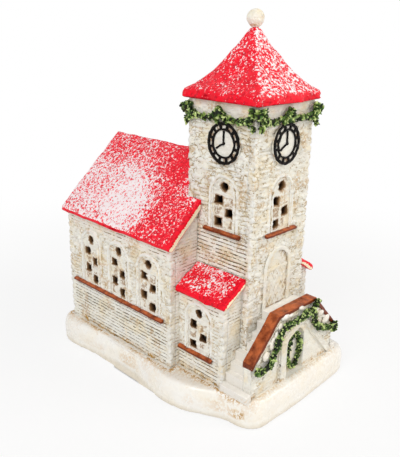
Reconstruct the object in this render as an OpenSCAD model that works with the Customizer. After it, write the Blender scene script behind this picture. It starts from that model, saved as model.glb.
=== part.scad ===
// Hand-built ceramic village church that lights up from inside.
// Slabs of clay are cut, pierced with arched windows and luted together on a snow plinth.
// The frame has its origin under the middle of the plinth: X to the right, Y to the back, Z up.

/* [Snow plinth] */
// Height of the plinth, and so of the floor inside
plinth_h = 20; // [12:1:30]
// Height of the rounded shoulder of the snow
shoulder_h = 9; // [3:0.5:11]
// How far the shoulder draws in at the top
shoulder_in = 4.2; // [1:0.2:5]
// Radius of the rounded foot
foot_r = 2.4; // [0.5:0.1:3]
// Snow in front of the tower
yard_l = 24; // [23:0.5:32]
// Snow behind the nave
back_l = 8; // [6:0.5:14]
// Snow beside the nave
side_w = 12.75; // [11.5:0.25:20]
// How far the house stands to the left of the plinth's middle
house_left = 1.8; // [0:0.1:3]

/* [Walls] */
// Thickness of a rolled clay slab
wall_t = 5; // [3:0.25:7]

/* [Nave] */
// Width of the nave over its side walls
nave_w = 105; // [96:1:112]
// Length of the nave
nave_l = 116; // [104:1:120]
// Height of the nave's eave above the table
nave_eave_z = 111.5; // [100:0.5:125]
// Height of the nave's ridge above the table
ridge_z = 162.2; // [150:0.5:175]
// Overhang of the nave's eaves
nave_eave = 3.4; // [1:0.1:6]
// Overhang of the nave's roof at its gables
nave_rake = 3; // [1:0.1:5]
// Thickness of the nave's roof slabs
nave_roof_t = 5; // [3:0.25:7]
// Width of the arched doorway at the back, where the light goes in
doorway_w = 48; // [44:1:60]
// Height of the doorway above the floor
doorway_h = 52; // [46:1:66]

/* [Tower] */
// Width of the tower
tower_w = 56; // [50:0.5:60]
// Depth of the tower
tower_d = 55; // [53:0.5:60]
// How far the tower's back stands inside the nave
tower_bite = 9; // [6:0.5:12]
// Wall between the door and the window's sill
door_clear = 11.4; // [8:0.2:16]
// Wall between the window and the clock
clock_clear = 9.1; // [7:0.1:14]
// Wall between the clock and the garland's bow
bow_clear = 2.2; // [1.6:0.1:5]
// Overhang of the tower's roof
tower_eave = 3; // [1:0.1:5]
// Height of the straight edge of the tower's roof
fascia_h = 4; // [2:0.25:6]
// Height of the tower's roof
spire_h = 41; // [32:0.5:50]
// Half-width of the flat tip of the roof
spire_tip = 2.2; // [1:0.1:3]
// Thickness of the roof shell, measured level
spire_t = 6; // [4:0.5:8]
// Diameter of the ball on the tip
ball_d = 11.6; // [8:0.2:15]
// Width of the archway from the tower into the nave
archway_w = 34; // [24:1:38]
// Height of that archway above the floor
archway_h = 62; // [40:1:80]

/* [Side annexes] */
// How far the left annex stands out from the tower's side
annex_out_left = 16.8; // [15:0.2:20]
// How far the right annex stands out, which is a little narrower
annex_out_right = 14.6; // [13.6:0.2:20]
// How far an annex's front stands behind the tower's front
annex_set = 5.4; // [4:0.2:10]
// Thickness of an annex's slabs
annex_t = 4.5; // [3:0.25:5]
// Height of an annex's roof where it meets the tower
annex_top = 93.6; // [88:0.5:100]
// Drop of an annex's roof for each millimetre out from the tower
annex_fall = 0.6; // [0.4:0.02:0.7]
// Overhang of an annex's roof
annex_eave = 3.1; // [1:0.1:5]
// Thickness of an annex's roof
annex_roof_t = 4; // [3:0.25:5]
// Width of the passage from an annex into the nave
passage_w = 9; // [6:0.5:9.5]
// Height of that passage above the floor
passage_h = 48; // [30:1:52]

/* [Boards] */
// Height of a lapped board under the sills
board_h = 3; // [2:0.25:5]
// How far a board stands out over the next one
board_lap = 0.6; // [0.3:0.1:1]

/* [Windows] */
// Width of a window over its rim
window_w = 20; // [18:0.5:22]
// Width of the rim round a window
window_rim = 1.5; // [1:0.1:2]
// Height of the rim above the wall
rim_relief = 0.9; // [0.4:0.1:1.5]
// Depth of the window's bars behind the wall
window_recess = 0.8; // [0.5:0.1:1.6]
// Width of one pane
pane_w = 6.2; // [4:0.1:6.4]
// Height of one pane
pane_h = 5.6; // [4:0.1:6.5]
// Height of a bar between two panes
bar_h = 1.6; // [1:0.1:2.5]
// Width of the upright bar
mullion_w = 2.8; // [2:0.1:3]
// Depth of a blind pane behind the bars
blind_in = 0.5; // [0.4:0.1:1.2]
// Rows of panes in a nave window
nave_rows = 4; // [3:1:5]
// Rows of panes in the tower's and the annexes' windows
side_rows = 3; // [2:1:4]
// Diameter of the hole in a window's arch
lunette_d = 6; // [4:0.2:7]
// Height of the arches' centres in the nave
nave_window_z = 85.5; // [80:0.5:88]
// Distance between the nave's windows
nave_window_pitch = 32.8; // [28:0.2:34]
// How far the nave's windows stand before the middle of their wall
nave_window_ahead = 2.7; // [0:0.1:5]
// Height of the arch's centre in an annex
annex_window_z = 61.2; // [58:0.2:62]
// Distance of an annex's window before the nave's front
annex_window_ahead = 18.4; // [16:0.2:20]
// Height of a sill
sill_h = 2.6; // [1.6:0.1:3.4]
// How far a sill stands out
sill_out = 2.6; // [1:0.1:4]
// Length of the tower's and the annexes' sills
sill_l = 31; // [24:0.5:34]
// Length of the nave's sills
nave_sill_l = 103; // [90:1:108]
// Gap between an annex's sill and the nave
sill_end = 1; // [0.4:0.1:3]

/* [Clocks] */
// Diameter of a clock
clock_d = 25.8; // [22:0.2:28]
// Thickness of a dial
dial_t = 1; // [0.6:0.1:2]
// Height of the rings and hands above the dial
ring_relief = 0.9; // [0.5:0.1:1.5]
// Width of the outer ring
ring_w = 1.7; // [1:0.1:2.2]
// Diameter over the inner ring
inner_ring_d = 18.4; // [16:0.2:20]
// Width of the inner ring
inner_ring_w = 1.2; // [0.8:0.1:2]
// Width of the bars between the rings
hour_bar_w = 1.5; // [1:0.1:2]
// Width of a hand
hand_w = 1.1; // [0.8:0.1:1.6]
// Length of the hour hand
hour_hand_l = 7; // [5:0.2:8]
// Distance of the left clock and window from the middle of their wall
hand_made_shift = 3.6; // [0:0.1:5]

/* [Door] */
// Width of the door over its frame
door_w = 28; // [24:0.5:30]
// Width of the frame round the door
door_frame_w = 2.8; // [2:0.1:4]
// Height of the frame above the wall
door_frame_relief = 1; // [0.5:0.1:2]
// Height of the door over its frame, from the landing
door_h = 41; // [36:0.5:43]
// Depth of the door's panel in the wall
door_recess = 1.6; // [1:0.1:2.4]
// Height of the crossbar under the arch
transom_h = 1.8; // [1:0.1:3]
// Distance between the lattice's ribs
lattice_pitch = 5.2; // [4:0.1:8]
// Width of a lattice rib
lattice_w = 0.9; // [0.6:0.1:1.4]
// Lean of the lattice's ribs from upright, in degrees
lattice_lean = 32; // [20:1:45]

/* [Stair] */
// Distance of the stair's middle to the right of the tower's middle
stair_shift = 3.5; // [0:0.1:5]
// Half the length of the double stair
stair_half = 45; // [42:0.5:46]
// Number of risers in a flight
risers = 7; // [6:1:8]
// Height of a riser
riser_h = 6.2; // [5.6:0.1:6.6]
// Depth of a tread
tread_l = 4.6; // [3.8:0.1:5]
// Width of the stair in front of the tower
stair_w = 9.5; // [7:0.25:10]
// Height of the slab before the first riser
kerb_h = 5; // [4:0.25:7]
// Depth of that slab
kerb_l = 5.6; // [3:0.2:6]

/* [Porch wall] */
// Thickness of the wall before the stair
porch_t = 6.5; // [5:0.25:8]
// Height of the wall's ends above the floor
porch_end_h = 21.4; // [16:0.2:26]
// Half the length of the wall's level top, beside the landing
porch_top_half = 19; // [17:0.5:24]
// Thickness of the coping
coping_t = 2.6; // [1.6:0.1:4]
// How far the coping stands out at front and back
coping_out = 0.9; // [0.3:0.1:1.5]
// Width of the arched niche
niche_w = 20; // [17:0.5:20]
// Height of the niche
niche_h = 33; // [28:0.5:33]
// Depth of the niche
niche_in = 4; // [2:0.25:4.5]
// Distance of the niche's middle to the right of the stair's middle
niche_shift = 2.2; // [1.4:0.1:3]
// Height of the band round the niche and its bay above the wall
band_relief = 0.7; // [0.3:0.1:0.9]
// Depth of the smooth panels beside the niche
panel_in = 1.2; // [0.6:0.1:1.8]

/* [Garlands] */
// Thickness of the tower's garland
garland_d = 5.6; // [4:0.2:8]
// Drop of each swag
swag_drop = 6.2; // [4:0.2:8]
// Distance of the garland's ends below the eave
garland_down = 2; // [1:0.25:4]
// Thickness of the porch's garland
porch_garland_d = 5; // [3:0.2:6]
// Width of the wreath
wreath_w = 17.4; // [12:0.2:17.8]
// Height of the wreath
wreath_h = 29; // [20:0.5:30]
// Thickness of the wreath's ring
wreath_d = 4; // [3:0.1:5]

/* [Battery light] */
// Diameter of the light's case
light_d = 37.6; // [36:0.2:40]
// Height of the light's case
light_h = 17; // [15:0.5:20]
// Wall of the light's case
light_t = 1.2; // [0.8:0.1:1.6]
// Distance of the light behind the tower's front
light_back = 104; // [85:1:120]
// Play round a moving piece, and between pieces that only lie side by side
play = 0.2; // [0.1:0.05:0.3]
// Thickness of the light's base
light_base_t = 1.6; // [1.2:0.1:2.4]
// Diameter of the battery cover
cover_d = 23.4; // [22:0.2:25]
// Diameter of the coin cell
cell_d = 20; // [16:0.5:20]
// Thickness of the coin cell
cell_t = 3.2; // [1.6:0.1:3.2]
// Diameter of the flame at its widest
flame_d = 10.4; // [8:0.2:12]
// Height of the flame above the case
flame_h = 17; // [12:0.5:20]
// Diameter of the lamp
led_d = 5; // [3:0.5:5]
// Width of the spring strip between the cell and the lamp
contact_w = 3; // [2:0.25:4]
// Length of the switch's slot
switch_l = 7; // [6:0.25:8]
// Width of the switch's slot
switch_w = 3; // [2:0.25:4]
// Travel of the switch
switch_go = 2.5; // [1.5:0.1:3]
// Lip of the switch over its slot
switch_lip = 0.5; // [0.3:0.1:0.8]
// How far the battery cover's lugs reach out
lug_out = 1.2; // [0.6:0.1:1.6]
// Width of a lug
lug_w = 4; // [3:0.25:5]
// Turn of the cover from locked to open, in degrees
cover_turn = 40; // [30:1:60]

/* [Hidden] */
$fn = 48;

// One overrun serves every cut.
over = 1;
clay = "#ece5d6";
glaze_red = "#c8202b";
glaze_brown = "#8f3a14";
leaf = "#3f7a2e";
iron_black = "#1d1a18";
snow = "#f7f4ec";

// The nave's front wall stands just before the tower's back.
nave_set = tower_d - tower_bite;
plinth_w = nave_w + 2 * side_w;
plinth_l = yard_l + nave_set + nave_l + back_l;
house_y = yard_l - plinth_l / 2;
floor_z = plinth_h;

// Nave, in the house's own frame, whose origin is under the middle of the tower's front.
nave_half = nave_w / 2;
nave_rear = nave_set + nave_l;
nave_middle = nave_set + nave_l / 2;
nave_windows_y = nave_middle - nave_window_ahead;
eave_x = nave_half + nave_eave;
roof_rise = (ridge_z - nave_eave_z) / eave_x;
roof_pitch = atan(roof_rise);
function roof_under(x) = ridge_z - roof_rise * x - nave_roof_t / cos(roof_pitch);

// Tower
tower_half = tower_w / 2;
tower_in = tower_half - wall_t;
eave_half = tower_half + tower_eave;
// The spire runs nearly straight and flares at the foot.
flare_share = 0.25;
flare_power = 5;
function spire_half(t) =
    spire_tip + (eave_half - spire_tip) * ((1 - flare_share) * (1 - t) + flare_share * pow(1 - t, flare_power));

// Annexes
annex_pitch = atan(annex_fall);
function annex_out(s) = s < 0 ? annex_out_left : annex_out_right;
function annex_half(s) = tower_half + annex_out(s);
function annex_under(x) = annex_top - annex_fall * (x - tower_half) - annex_roof_t / cos(annex_pitch);
function passage_x(s) = tower_half + (annex_out(s) - annex_t) / 2;
annex_window_y = nave_set - annex_window_ahead;

// Windows hang from the centre of their arch down to their sill.
window_r = window_w / 2;
row_pitch = pane_h + bar_h;
function window_drop(rows) = bar_h + rows * row_pitch;
nave_sill_z = nave_window_z - window_drop(nave_rows);
annex_sill_z = annex_window_z - window_drop(side_rows);

// Stair and porch
kerb_z = floor_z + kerb_h;
landing_z = kerb_z + risers * riser_h;
landing_half = stair_half - (risers - 1) * tread_l;
// The porch wall is as high as the landing, and its coping stands above it.
porch_h = landing_z - floor_z;
porch_rise = (porch_h - porch_end_h) / (stair_half - porch_top_half);
porch_cos = cos(atan(porch_rise));
porch_back = stair_w;
porch_front = porch_back + porch_t;
door_foot = landing_z;
door_arch_z = door_foot + door_h - door_w / 2;

// Garlands: the swags hang nearly level between steep ends, where the leaves bunch.
garland_reach_share = 0.5;
swag_power = 3;
bunch_share = 0.5;
bunch_power = 4;
// How much the leaves swell and shrink along a strand, and by what turns
leaf_share = 0.2;
leaf_turn = 117;
leaf_sway = 63;
strand_sides = 8;

// The tower's storeys stand on one another: door, window, clock and garland.
tower_sill_z = door_foot + door_h + door_clear;
tower_window_z = tower_sill_z + window_drop(side_rows);
clock_z = tower_window_z + window_r + clock_clear + clock_d / 2;
tower_top = clock_z + clock_d / 2 + bow_clear + garland_d * (1 + bunch_share) + garland_down;
spire_z = tower_top + fascia_h;
tip_z = tower_top + spire_h;

// Light
light_z = floor_z + play;
light_r = light_d / 2;
light_in = light_r - light_t;
base_z = light_z + play;
cell_z = base_z + light_base_t + play;
switch_x = (cover_d / 2 + light_in) / 2;
contact_t = light_base_t / 4;
contact_z = cell_z + cell_t + 2 * contact_t;
case_top = light_z + light_h;
// Sink of the case's top below its rim
dish_share = 0.12;
dish = light_h * dish_share;
// Thickness of the lamp's legs
leg_share = 0.1;
leg = led_d * leg_share;
leg_x = led_d / 4;

// Sets the house on the plinth.
module on_site() {
    translate([-house_left, house_y, 0]) children();
}

// Draws the left-hand piece, or its mirror image on the right.
module on_side(s) {
    on_site() mirror([s > 0 ? 1 : 0, 0, 0]) children();
}

// Turns a piece drawn on the page so that it stands on the tower's front, its back at the wall.
module on_front() {
    rotate([90, 0, 0]) children();
}

// The same for a wall that looks to the left, with its face at x and the piece's middle at y.
module on_left(x, y) {
    translate([x, y, 0]) rotate([90, 0, -90]) children();
}

// Draws a cross-section in X and Z, and carries it from y0 back to y1.
module run_back(y0, y1) {
    translate([0, y1, 0]) rotate([90, 0, 0]) linear_extrude(height = y1 - y0) children();
}

// Skins a stack of rings that have the same number of points, and caps both ends.
module loft(rings) {
    n = len(rings[0]);
    m = len(rings);
    points = [for (ring = rings) for (p = ring) p];
    skin = [for (k = [0 : m - 2]) for (i = [0 : n - 1]) let (j = (i + 1) % n)
        each [[k * n + i, (k + 1) * n + i, (k + 1) * n + j], [k * n + i, (k + 1) * n + j, k * n + j]]];
    first = [for (i = [0 : n - 1]) i];
    last = [for (i = [n - 1 : -1 : 0]) (m - 1) * n + i];
    polyhedron(points = points, faces = concat(skin, [first, last]), convexity = 4);
}

// Skins rings that follow one another round a closed loop.
module loop_skin(rings) {
    n = len(rings[0]);
    m = len(rings);
    points = [for (ring = rings) for (p = ring) p];
    skin = [for (k = [0 : m - 1]) for (i = [0 : n - 1]) let (j = (i + 1) % n, l = (k + 1) % m)
        each [[k * n + i, l * n + i, l * n + j], [k * n + i, l * n + j, k * n + j]]];
    polyhedron(points = points, faces = skin, convexity = 6);
}

// Smooth closed curve through points, with steps points to each stretch.
function spline(p, steps) = [for (i = [0 : len(p) - 1]) for (s = [0 : steps - 1])
    let (n = len(p), a = p[(i + n - 1) % n], b = p[i], c = p[(i + 1) % n], d = p[(i + 2) % n], t = s / steps)
    0.5 * (2 * b + (c - a) * t + (2 * a - 5 * b + 4 * c - d) * t * t + (3 * b - a - 3 * c + d) * t * t * t)];

// Smooth open curve through points.
function open_spline(p, steps) = concat([for (i = [0 : len(p) - 2]) for (s = [0 : steps - 1])
    let (a = p[max(i - 1, 0)], b = p[i], c = p[i + 1], d = p[min(i + 2, len(p) - 1)], t = s / steps)
    0.5 * (2 * b + (c - a) * t + (2 * a - 5 * b + 4 * c - d) * t * t + (3 * b - a - 3 * c + d) * t * t * t)],
    [p[len(p) - 1]]);

// Outline of the snow, anticlockwise from the back left corner, as shares of half the width and of the length.
snow_shares = [
    [-0.985, 0.945], [-0.99, 0.85], [-0.93, 0.69], [-0.915, 0.55], [-0.96, 0.44], [-1, 0.35], [-0.965, 0.262],
    [-0.875, 0.195], [-0.775, 0.125], [-0.735, 0.05], [-0.61, 0.008], [-0.4, 0.001], [-0.05, 0], [0.35, 0.004],
    [0.7, 0.008], [0.91, 0.02], [0.99, 0.062], [1, 0.14], [0.985, 0.25], [0.99, 0.36], [0.93, 0.5],
    [0.925, 0.68], [0.975, 0.85], [0.97, 0.94], [0.87, 0.988], [0.5, 1], [0, 0.998], [-0.5, 1], [-0.87, 0.992]
];
snow_steps = 4;
snow_round = spline(snow_shares, snow_steps);
snow_min = [min([for (p = snow_round) p[0]]), min([for (p = snow_round) p[1]])];
snow_max = [max([for (p = snow_round) p[0]]), max([for (p = snow_round) p[1]])];
snow_edge = [for (p = snow_round) [
    ((p[0] - snow_min[0]) / (snow_max[0] - snow_min[0]) - 0.5) * plinth_w,
    ((p[1] - snow_min[1]) / (snow_max[1] - snow_min[1]) - 0.5) * plinth_l]];

// The outline drawn in by an even amount, at height z.
function snow_ring(inset, z) = [for (i = [0 : len(snow_edge) - 1])
    let (n = len(snow_edge), d = snow_edge[(i + 1) % n] - snow_edge[(i + n - 1) % n], l = norm(d))
    [snow_edge[i][0] - d[1] / l * inset, snow_edge[i][1] + d[0] / l * inset, z]];

module snow_plinth() {
    foot_steps = 3;
    shoulder_steps = 5;
    foot = [for (k = [0 : foot_steps - 1]) let (a = 90 * k / foot_steps)
        snow_ring(foot_r * (1 - sin(a)), foot_r * (1 - cos(a)))];
    shoulder = [for (k = [0 : shoulder_steps]) let (a = 90 * k / shoulder_steps)
        snow_ring(shoulder_in * (1 - cos(a)), plinth_h - shoulder_h * (1 - sin(a)))];
    color(snow) loft(concat(foot, shoulder));
}

// Cross-section of a side wall: its face at x, t thick, with lapped boards from board_low to board_high.
// The top slopes from top_out at the face to top_in at the back.
function side_profile(x, t, top_out, top_in, board_low, board_high) =
    let (n = round((board_high - board_low) / board_h), h = (board_high - board_low) / n)
    concat(
        [[x + t, floor_z], [x, floor_z]],
        [for (k = [0 : n - 1]) each [[x, board_low + k * h], [x + board_lap, board_low + (k + 1) * h]]],
        [[x, board_high], [x, top_out], [x + t, top_in]]);

// Outline of a round arch of width w, whose foot is drop below the arch's centre.
module arch(w, drop) {
    circle(d = w);
    translate([-w / 2, -drop]) square([w, drop]);
}

// Raised rim of a window.
module window_rim(rows) {
    drop = window_drop(rows);
    linear_extrude(height = rim_relief) difference() {
        arch(window_w, drop);
        translate([0, -over]) arch(window_w - 2 * window_rim, drop);
        translate([0, over]) arch(window_w - 2 * window_rim, drop);
    }
}

// All that is cut from the wall for a window: the recess, the blind panes, and the open ones in a chequer.
module window_cut(rows, t) {
    drop = window_drop(rows);
    translate([0, 0, -window_recess]) linear_extrude(height = window_recess + over)
        arch(window_w - 2 * window_rim, drop);
    for (row = [0 : rows - 1], s = [-1, 1]) {
        open = (row % 2 == 0) == (s < 0);
        deep = open ? t + over : window_recess + blind_in;
        translate([s * (mullion_w + pane_w) / 2 - pane_w / 2, -bar_h - pane_h - row * row_pitch, -deep])
            cube([pane_w, pane_h, deep + over]);
    }
    translate([0, window_r / 2, -t - over]) cylinder(d = lunette_d, h = t + 2 * over);
}

// Sill with a sloping top, its back at the wall and its top at height z.
module sill(length, z) {
    slope_share = 0.35;
    translate([-length / 2, z, 0]) rotate([0, 90, 0]) linear_extrude(height = length)
        polygon([[0, 0], [-sill_out, -sill_h * slope_share], [-sill_out, -sill_h], [0, -sill_h]]);
}

module nave_wall(s) {
    color(clay) on_side(s) {
        difference() {
            run_back(nave_set, nave_rear) polygon(side_profile(
                -nave_half, wall_t, roof_under(nave_half), roof_under(nave_half - wall_t),
                floor_z, nave_sill_z - sill_h));
            for (k = [-1 : 1]) on_left(-nave_half, nave_windows_y + k * nave_window_pitch)
                translate([0, nave_window_z, 0]) window_cut(nave_rows, wall_t);
        }
        for (k = [-1 : 1]) on_left(-nave_half, nave_windows_y + k * nave_window_pitch)
            translate([0, nave_window_z, 0]) window_rim(nave_rows);
    }
}
module nave_wall_left() { nave_wall(-1); }
module nave_wall_right() { nave_wall(1); }

// The nave's front beside the tower, pierced by a passage into the annex.
module nave_front(s) {
    outer = nave_half - wall_t;
    color(clay) on_side(s) difference() {
        run_back(nave_set, nave_set + wall_t) polygon([
            [-outer, floor_z], [-tower_half, floor_z],
            [-tower_half, roof_under(tower_half)], [-outer, roof_under(outer)]]);
        run_back(nave_set - over, nave_set + wall_t + over)
            translate([-passage_x(s), floor_z + passage_h - passage_w / 2]) arch(passage_w, passage_h);
    }
}
module nave_front_left() { nave_front(-1); }
module nave_front_right() { nave_front(1); }

module nave_wall_rear() {
    outer = nave_half - wall_t;
    color(clay) on_site() difference() {
        run_back(nave_rear - wall_t, nave_rear) polygon([
            [-outer, floor_z], [outer, floor_z],
            [outer, roof_under(outer)], [0, roof_under(0)], [-outer, roof_under(outer)]]);
        run_back(nave_rear - wall_t - over, nave_rear + over)
            translate([0, floor_z + doorway_h - doorway_w / 2]) arch(doorway_w, doorway_h);
    }
}

// One slope of the nave's roof, with a rolled eave, cut round the tower.
module nave_roof(s) {
    sp = sin(roof_pitch);
    cp = cos(roof_pitch);
    mid_x = -eave_x + nave_roof_t / 2 * sp;
    mid_z = nave_eave_z - nave_roof_t / 2 * cp;
    color(glaze_red) on_side(s) difference() {
        run_back(nave_set - nave_rake, nave_rear + nave_rake) {
            polygon([
                [-eave_x, nave_eave_z], [-eave_x + nave_roof_t * sp, nave_eave_z - nave_roof_t * cp],
                [0, ridge_z - nave_roof_t / cp], [0, ridge_z]]);
            translate([mid_x, mid_z]) circle(d = nave_roof_t);
        }
        translate([-tower_half, -over, 0]) cube([tower_w, tower_d + over, tip_z]);
    }
}
module nave_roof_left() { nave_roof(-1); }
module nave_roof_right() { nave_roof(1); }

module nave_sill(s) {
    color(glaze_brown) on_side(s) on_left(-nave_half, nave_middle)
        sill(nave_sill_l, nave_sill_z);
}
module nave_sill_left() { nave_sill(-1); }
module nave_sill_right() { nave_sill(1); }

// The tower's front, with its window, and the recess that holds the door.
module tower_wall_front() {
    color(clay) on_site() {
        difference() {
            translate([-tower_half, 0, floor_z]) cube([tower_w, wall_t, tower_top - floor_z]);
            on_front() translate([0, tower_window_z, 0]) window_cut(side_rows, wall_t);
            on_front() translate([0, door_arch_z, -door_recess]) linear_extrude(height = door_recess + over)
                arch(door_w - 2 * door_frame_w, door_arch_z - door_foot);
        }
        on_front() translate([0, tower_window_z, 0]) window_rim(side_rows);
    }
}

module tower_wall_side(s) {
    window_y = tower_d / 2 - hand_made_shift;
    color(clay) on_side(s) {
        difference() {
            run_back(wall_t, tower_d - wall_t) polygon(side_profile(
                -tower_half, wall_t, tower_top, tower_top, annex_top, tower_sill_z - sill_h));
            on_left(-tower_half, window_y) translate([0, tower_window_z, 0]) window_cut(side_rows, wall_t);
        }
        on_left(-tower_half, window_y) translate([0, tower_window_z, 0]) window_rim(side_rows);
    }
}
module tower_wall_left() { tower_wall_side(-1); }
module tower_wall_right() { tower_wall_side(1); }

module tower_wall_rear() {
    color(clay) on_site() difference() {
        translate([-tower_half, tower_d - wall_t, floor_z]) cube([tower_w, wall_t, tower_top - floor_z]);
        run_back(tower_d - wall_t - over, tower_d + over)
            translate([0, floor_z + archway_h - archway_w / 2]) arch(archway_w, archway_h);
    }
}

function square_ring(half, z) = [[-half, -half, z], [half, -half, z], [half, half, z], [-half, half, z]];

// The spire: a square roof that flares out to its eaves, hollow below.
module tower_roof() {
    steps = 10;
    hollow_steps = 6;
    hollow_share = 0.72;
    outer = concat([square_ring(eave_half, tower_top)],
        [for (k = [0 : steps]) let (t = k / steps)
            square_ring(spire_half(t), spire_z + (tip_z - spire_z) * t)]);
    inner = concat([square_ring(tower_in, tower_top - over), square_ring(tower_in, tower_top)],
        [for (k = [0 : hollow_steps]) let (t = hollow_share * k / hollow_steps)
            square_ring(min(tower_in, spire_half(t) - spire_t), spire_z + (tip_z - spire_z) * t)]);
    color(glaze_red) on_site() translate([0, tower_d / 2, 0]) difference() {
        loft(outer);
        loft(inner);
    }
}

// The ball sits on the tip with a small flat.
module finial_ball() {
    r = ball_d / 2;
    seat = sqrt(r * r - spire_tip * spire_tip);
    color(snow) on_site() translate([0, tower_d / 2, tip_z]) difference() {
        translate([0, 0, seat]) sphere(r = r);
        translate([-r, -r, -ball_d]) cube([ball_d, ball_d, ball_d]);
    }
}

module tower_sill_side(s) {
    color(glaze_brown) on_side(s) on_left(-tower_half, tower_d / 2 - hand_made_shift)
        sill(sill_l, tower_sill_z);
}
module tower_sill_left() { tower_sill_side(-1); }
module tower_sill_right() { tower_sill_side(1); }
module tower_sill_front() {
    color(glaze_brown) on_site() on_front() sill(sill_l, tower_sill_z);
}

// Puts a clock piece on one of the three faces: -1 left, 0 front, 1 right.
module on_clock_face(s) {
    if (s == 0) on_site() on_front() translate([0, clock_z, 0]) children();
    else on_side(s) on_left(-tower_half, tower_d / 2 - hand_made_shift) translate([0, clock_z, 0]) children();
}

module clock_dial(s) {
    color(clay) on_clock_face(s) cylinder(d = clock_d, h = dial_t);
}
module clock_dial_left() { clock_dial(-1); }
module clock_dial_right() { clock_dial(1); }
module clock_dial_front() { clock_dial(0); }

module ring(d, w) {
    difference() {
        circle(d = d);
        circle(d = d - 2 * w);
    }
}

// Two rings joined by twelve bars.
module clock_rings(s) {
    hours = 12;
    reach = (clock_d - inner_ring_d) / 2;
    color(iron_black) on_clock_face(s) translate([0, 0, dial_t]) linear_extrude(height = ring_relief) {
        ring(clock_d, ring_w);
        ring(inner_ring_d, inner_ring_w);
        for (k = [0 : hours - 1]) rotate((k + 0.5) * 360 / hours)
            translate([inner_ring_d / 2 - inner_ring_w / 2, -hour_bar_w / 2]) square([reach, hour_bar_w]);
    }
}
module clock_rings_left() { clock_rings(-1); }
module clock_rings_right() { clock_rings(1); }
module clock_rings_front() { clock_rings(0); }

// Hands fixed at eight o'clock; the mirrored face on the right is turned back to read the same.
module clock_hands(s) {
    minute_l = inner_ring_d / 2 - inner_ring_w - play;
    hour_turn = 30;
    color(iron_black) on_clock_face(s) mirror([s > 0 ? 1 : 0, 0, 0]) translate([0, 0, dial_t])
        linear_extrude(height = ring_relief) {
            circle(d = 2 * hand_w);
            translate([-hand_w / 2, 0]) square([hand_w, minute_l]);
            rotate(180 + hour_turn) translate([0, -hand_w / 2]) square([hour_hand_l, hand_w]);
        }
}
module clock_hands_left() { clock_hands(-1); }
module clock_hands_right() { clock_hands(1); }
module clock_hands_front() { clock_hands(0); }

// Swelling of a strand's leaves at its ring k.
function swell(k) = 1 - leaf_share * (1 - sin(k * leaf_turn) * cos(k * leaf_sway));

// Ring of a strand at [x, y] on the page, square to the direction dir, with its flat back on the wall.
function strand_ring(x, y, dir, r) = [for (i = [0 : strand_sides - 1]) let (a = 360 * (i + 0.5) / strand_sides)
    [x - dir[1] * r * cos(a), y + dir[0] * r * cos(a), r * (cos(180 / strand_sides) + sin(a))]];

// Rings of a strand of clay leaves of thickness d along a flat route.
function strand(route, d, closed) = [for (k = [0 : len(route) - 1])
    let (
        n = len(route),
        ahead = route[closed ? (k + 1) % n : min(k + 1, n - 1)],
        behind = route[closed ? (k + n - 1) % n : max(k - 1, 0)])
    strand_ring(route[k][0], route[k][1], (ahead - behind) / norm(ahead - behind), d / 2 * swell(k))];

// Two swags across a wall, with bunches of leaves at the corners and under the bow in the middle.
module wall_garland(half) {
    steps = 12;
    loft([for (k = [-2 * steps : 2 * steps]) let (
        t = k / (2 * steps),
        u = abs(2 * abs(t) - 1),
        r = garland_d / 2 * (1 + bunch_share * pow(u, bunch_power)),
        top = tower_top - garland_down - swag_drop * (1 - pow(u, swag_power)))
        strand_ring(half * t, top - r, [1, 0], r * swell(k))]);
}

module garland_side(s) {
    color(leaf) on_side(s) on_left(-tower_half, tower_d / 2) wall_garland(tower_d / 2 - play);
}
module garland_left() { garland_side(-1); }
module garland_right() { garland_side(1); }
module garland_front() {
    color(leaf) on_site() on_front() wall_garland(tower_half + garland_reach_share * garland_d);
}
module garland_rear() {
    color(leaf) on_site() translate([0, tower_d, 0]) rotate([0, 0, 180]) on_front()
        wall_garland(tower_half + garland_reach_share * garland_d);
}

// Closed plank door: a plain arch, a crossbar, and a lattice of raised ribs below.
module tower_door() {
    w = door_w - 2 * door_frame_w;
    spring = door_arch_z - door_foot;
    panel_t = door_recess / 2;
    rib_t = door_recess - panel_t;
    field_h = spring - transom_h;
    ribs = ceil((w + field_h) / lattice_pitch);
    color(clay) on_site() on_front() translate([0, door_foot, -door_recess]) {
        linear_extrude(height = panel_t) translate([0, spring]) arch(w, spring);
        translate([-w / 2, field_h, panel_t]) cube([w, transom_h, rib_t]);
        translate([0, 0, panel_t]) linear_extrude(height = rib_t / 2) intersection() {
            translate([-w / 2, 0]) square([w, field_h]);
            union() for (s = [-1, 1], k = [-ribs : ribs]) translate([k * lattice_pitch, 0])
                rotate(s * lattice_lean) translate([-lattice_w / 2, -field_h]) square([lattice_w, 3 * field_h]);
        }
    }
}

module door_frame() {
    spring = door_arch_z - door_foot;
    color(clay) on_site() on_front() translate([0, door_arch_z, 0]) linear_extrude(height = door_frame_relief)
        difference() {
            arch(door_w, spring);
            translate([0, -over]) arch(door_w - 2 * door_frame_w, spring);
            arch(door_w - 2 * door_frame_w, spring);
        }
}

module annex_wall(s) {
    face = annex_half(s);
    color(clay) on_side(s) {
        difference() {
            run_back(annex_set, nave_set) polygon(side_profile(
                -face, annex_t, annex_under(face), annex_under(face - annex_t),
                floor_z, annex_sill_z - sill_h));
            on_left(-face, annex_window_y) translate([0, annex_window_z, 0]) window_cut(side_rows, annex_t);
        }
        on_left(-face, annex_window_y) translate([0, annex_window_z, 0]) window_rim(side_rows);
    }
}
module annex_wall_left() { annex_wall(-1); }
module annex_wall_right() { annex_wall(1); }

module annex_front(s) {
    outer = annex_half(s) - annex_t;
    color(clay) on_side(s) run_back(annex_set, annex_set + annex_t) polygon([
        [-outer, floor_z], [-tower_half, floor_z],
        [-tower_half, annex_under(tower_half)], [-outer, annex_under(outer)]]);
}
module annex_front_left() { annex_front(-1); }
module annex_front_right() { annex_front(1); }

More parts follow.
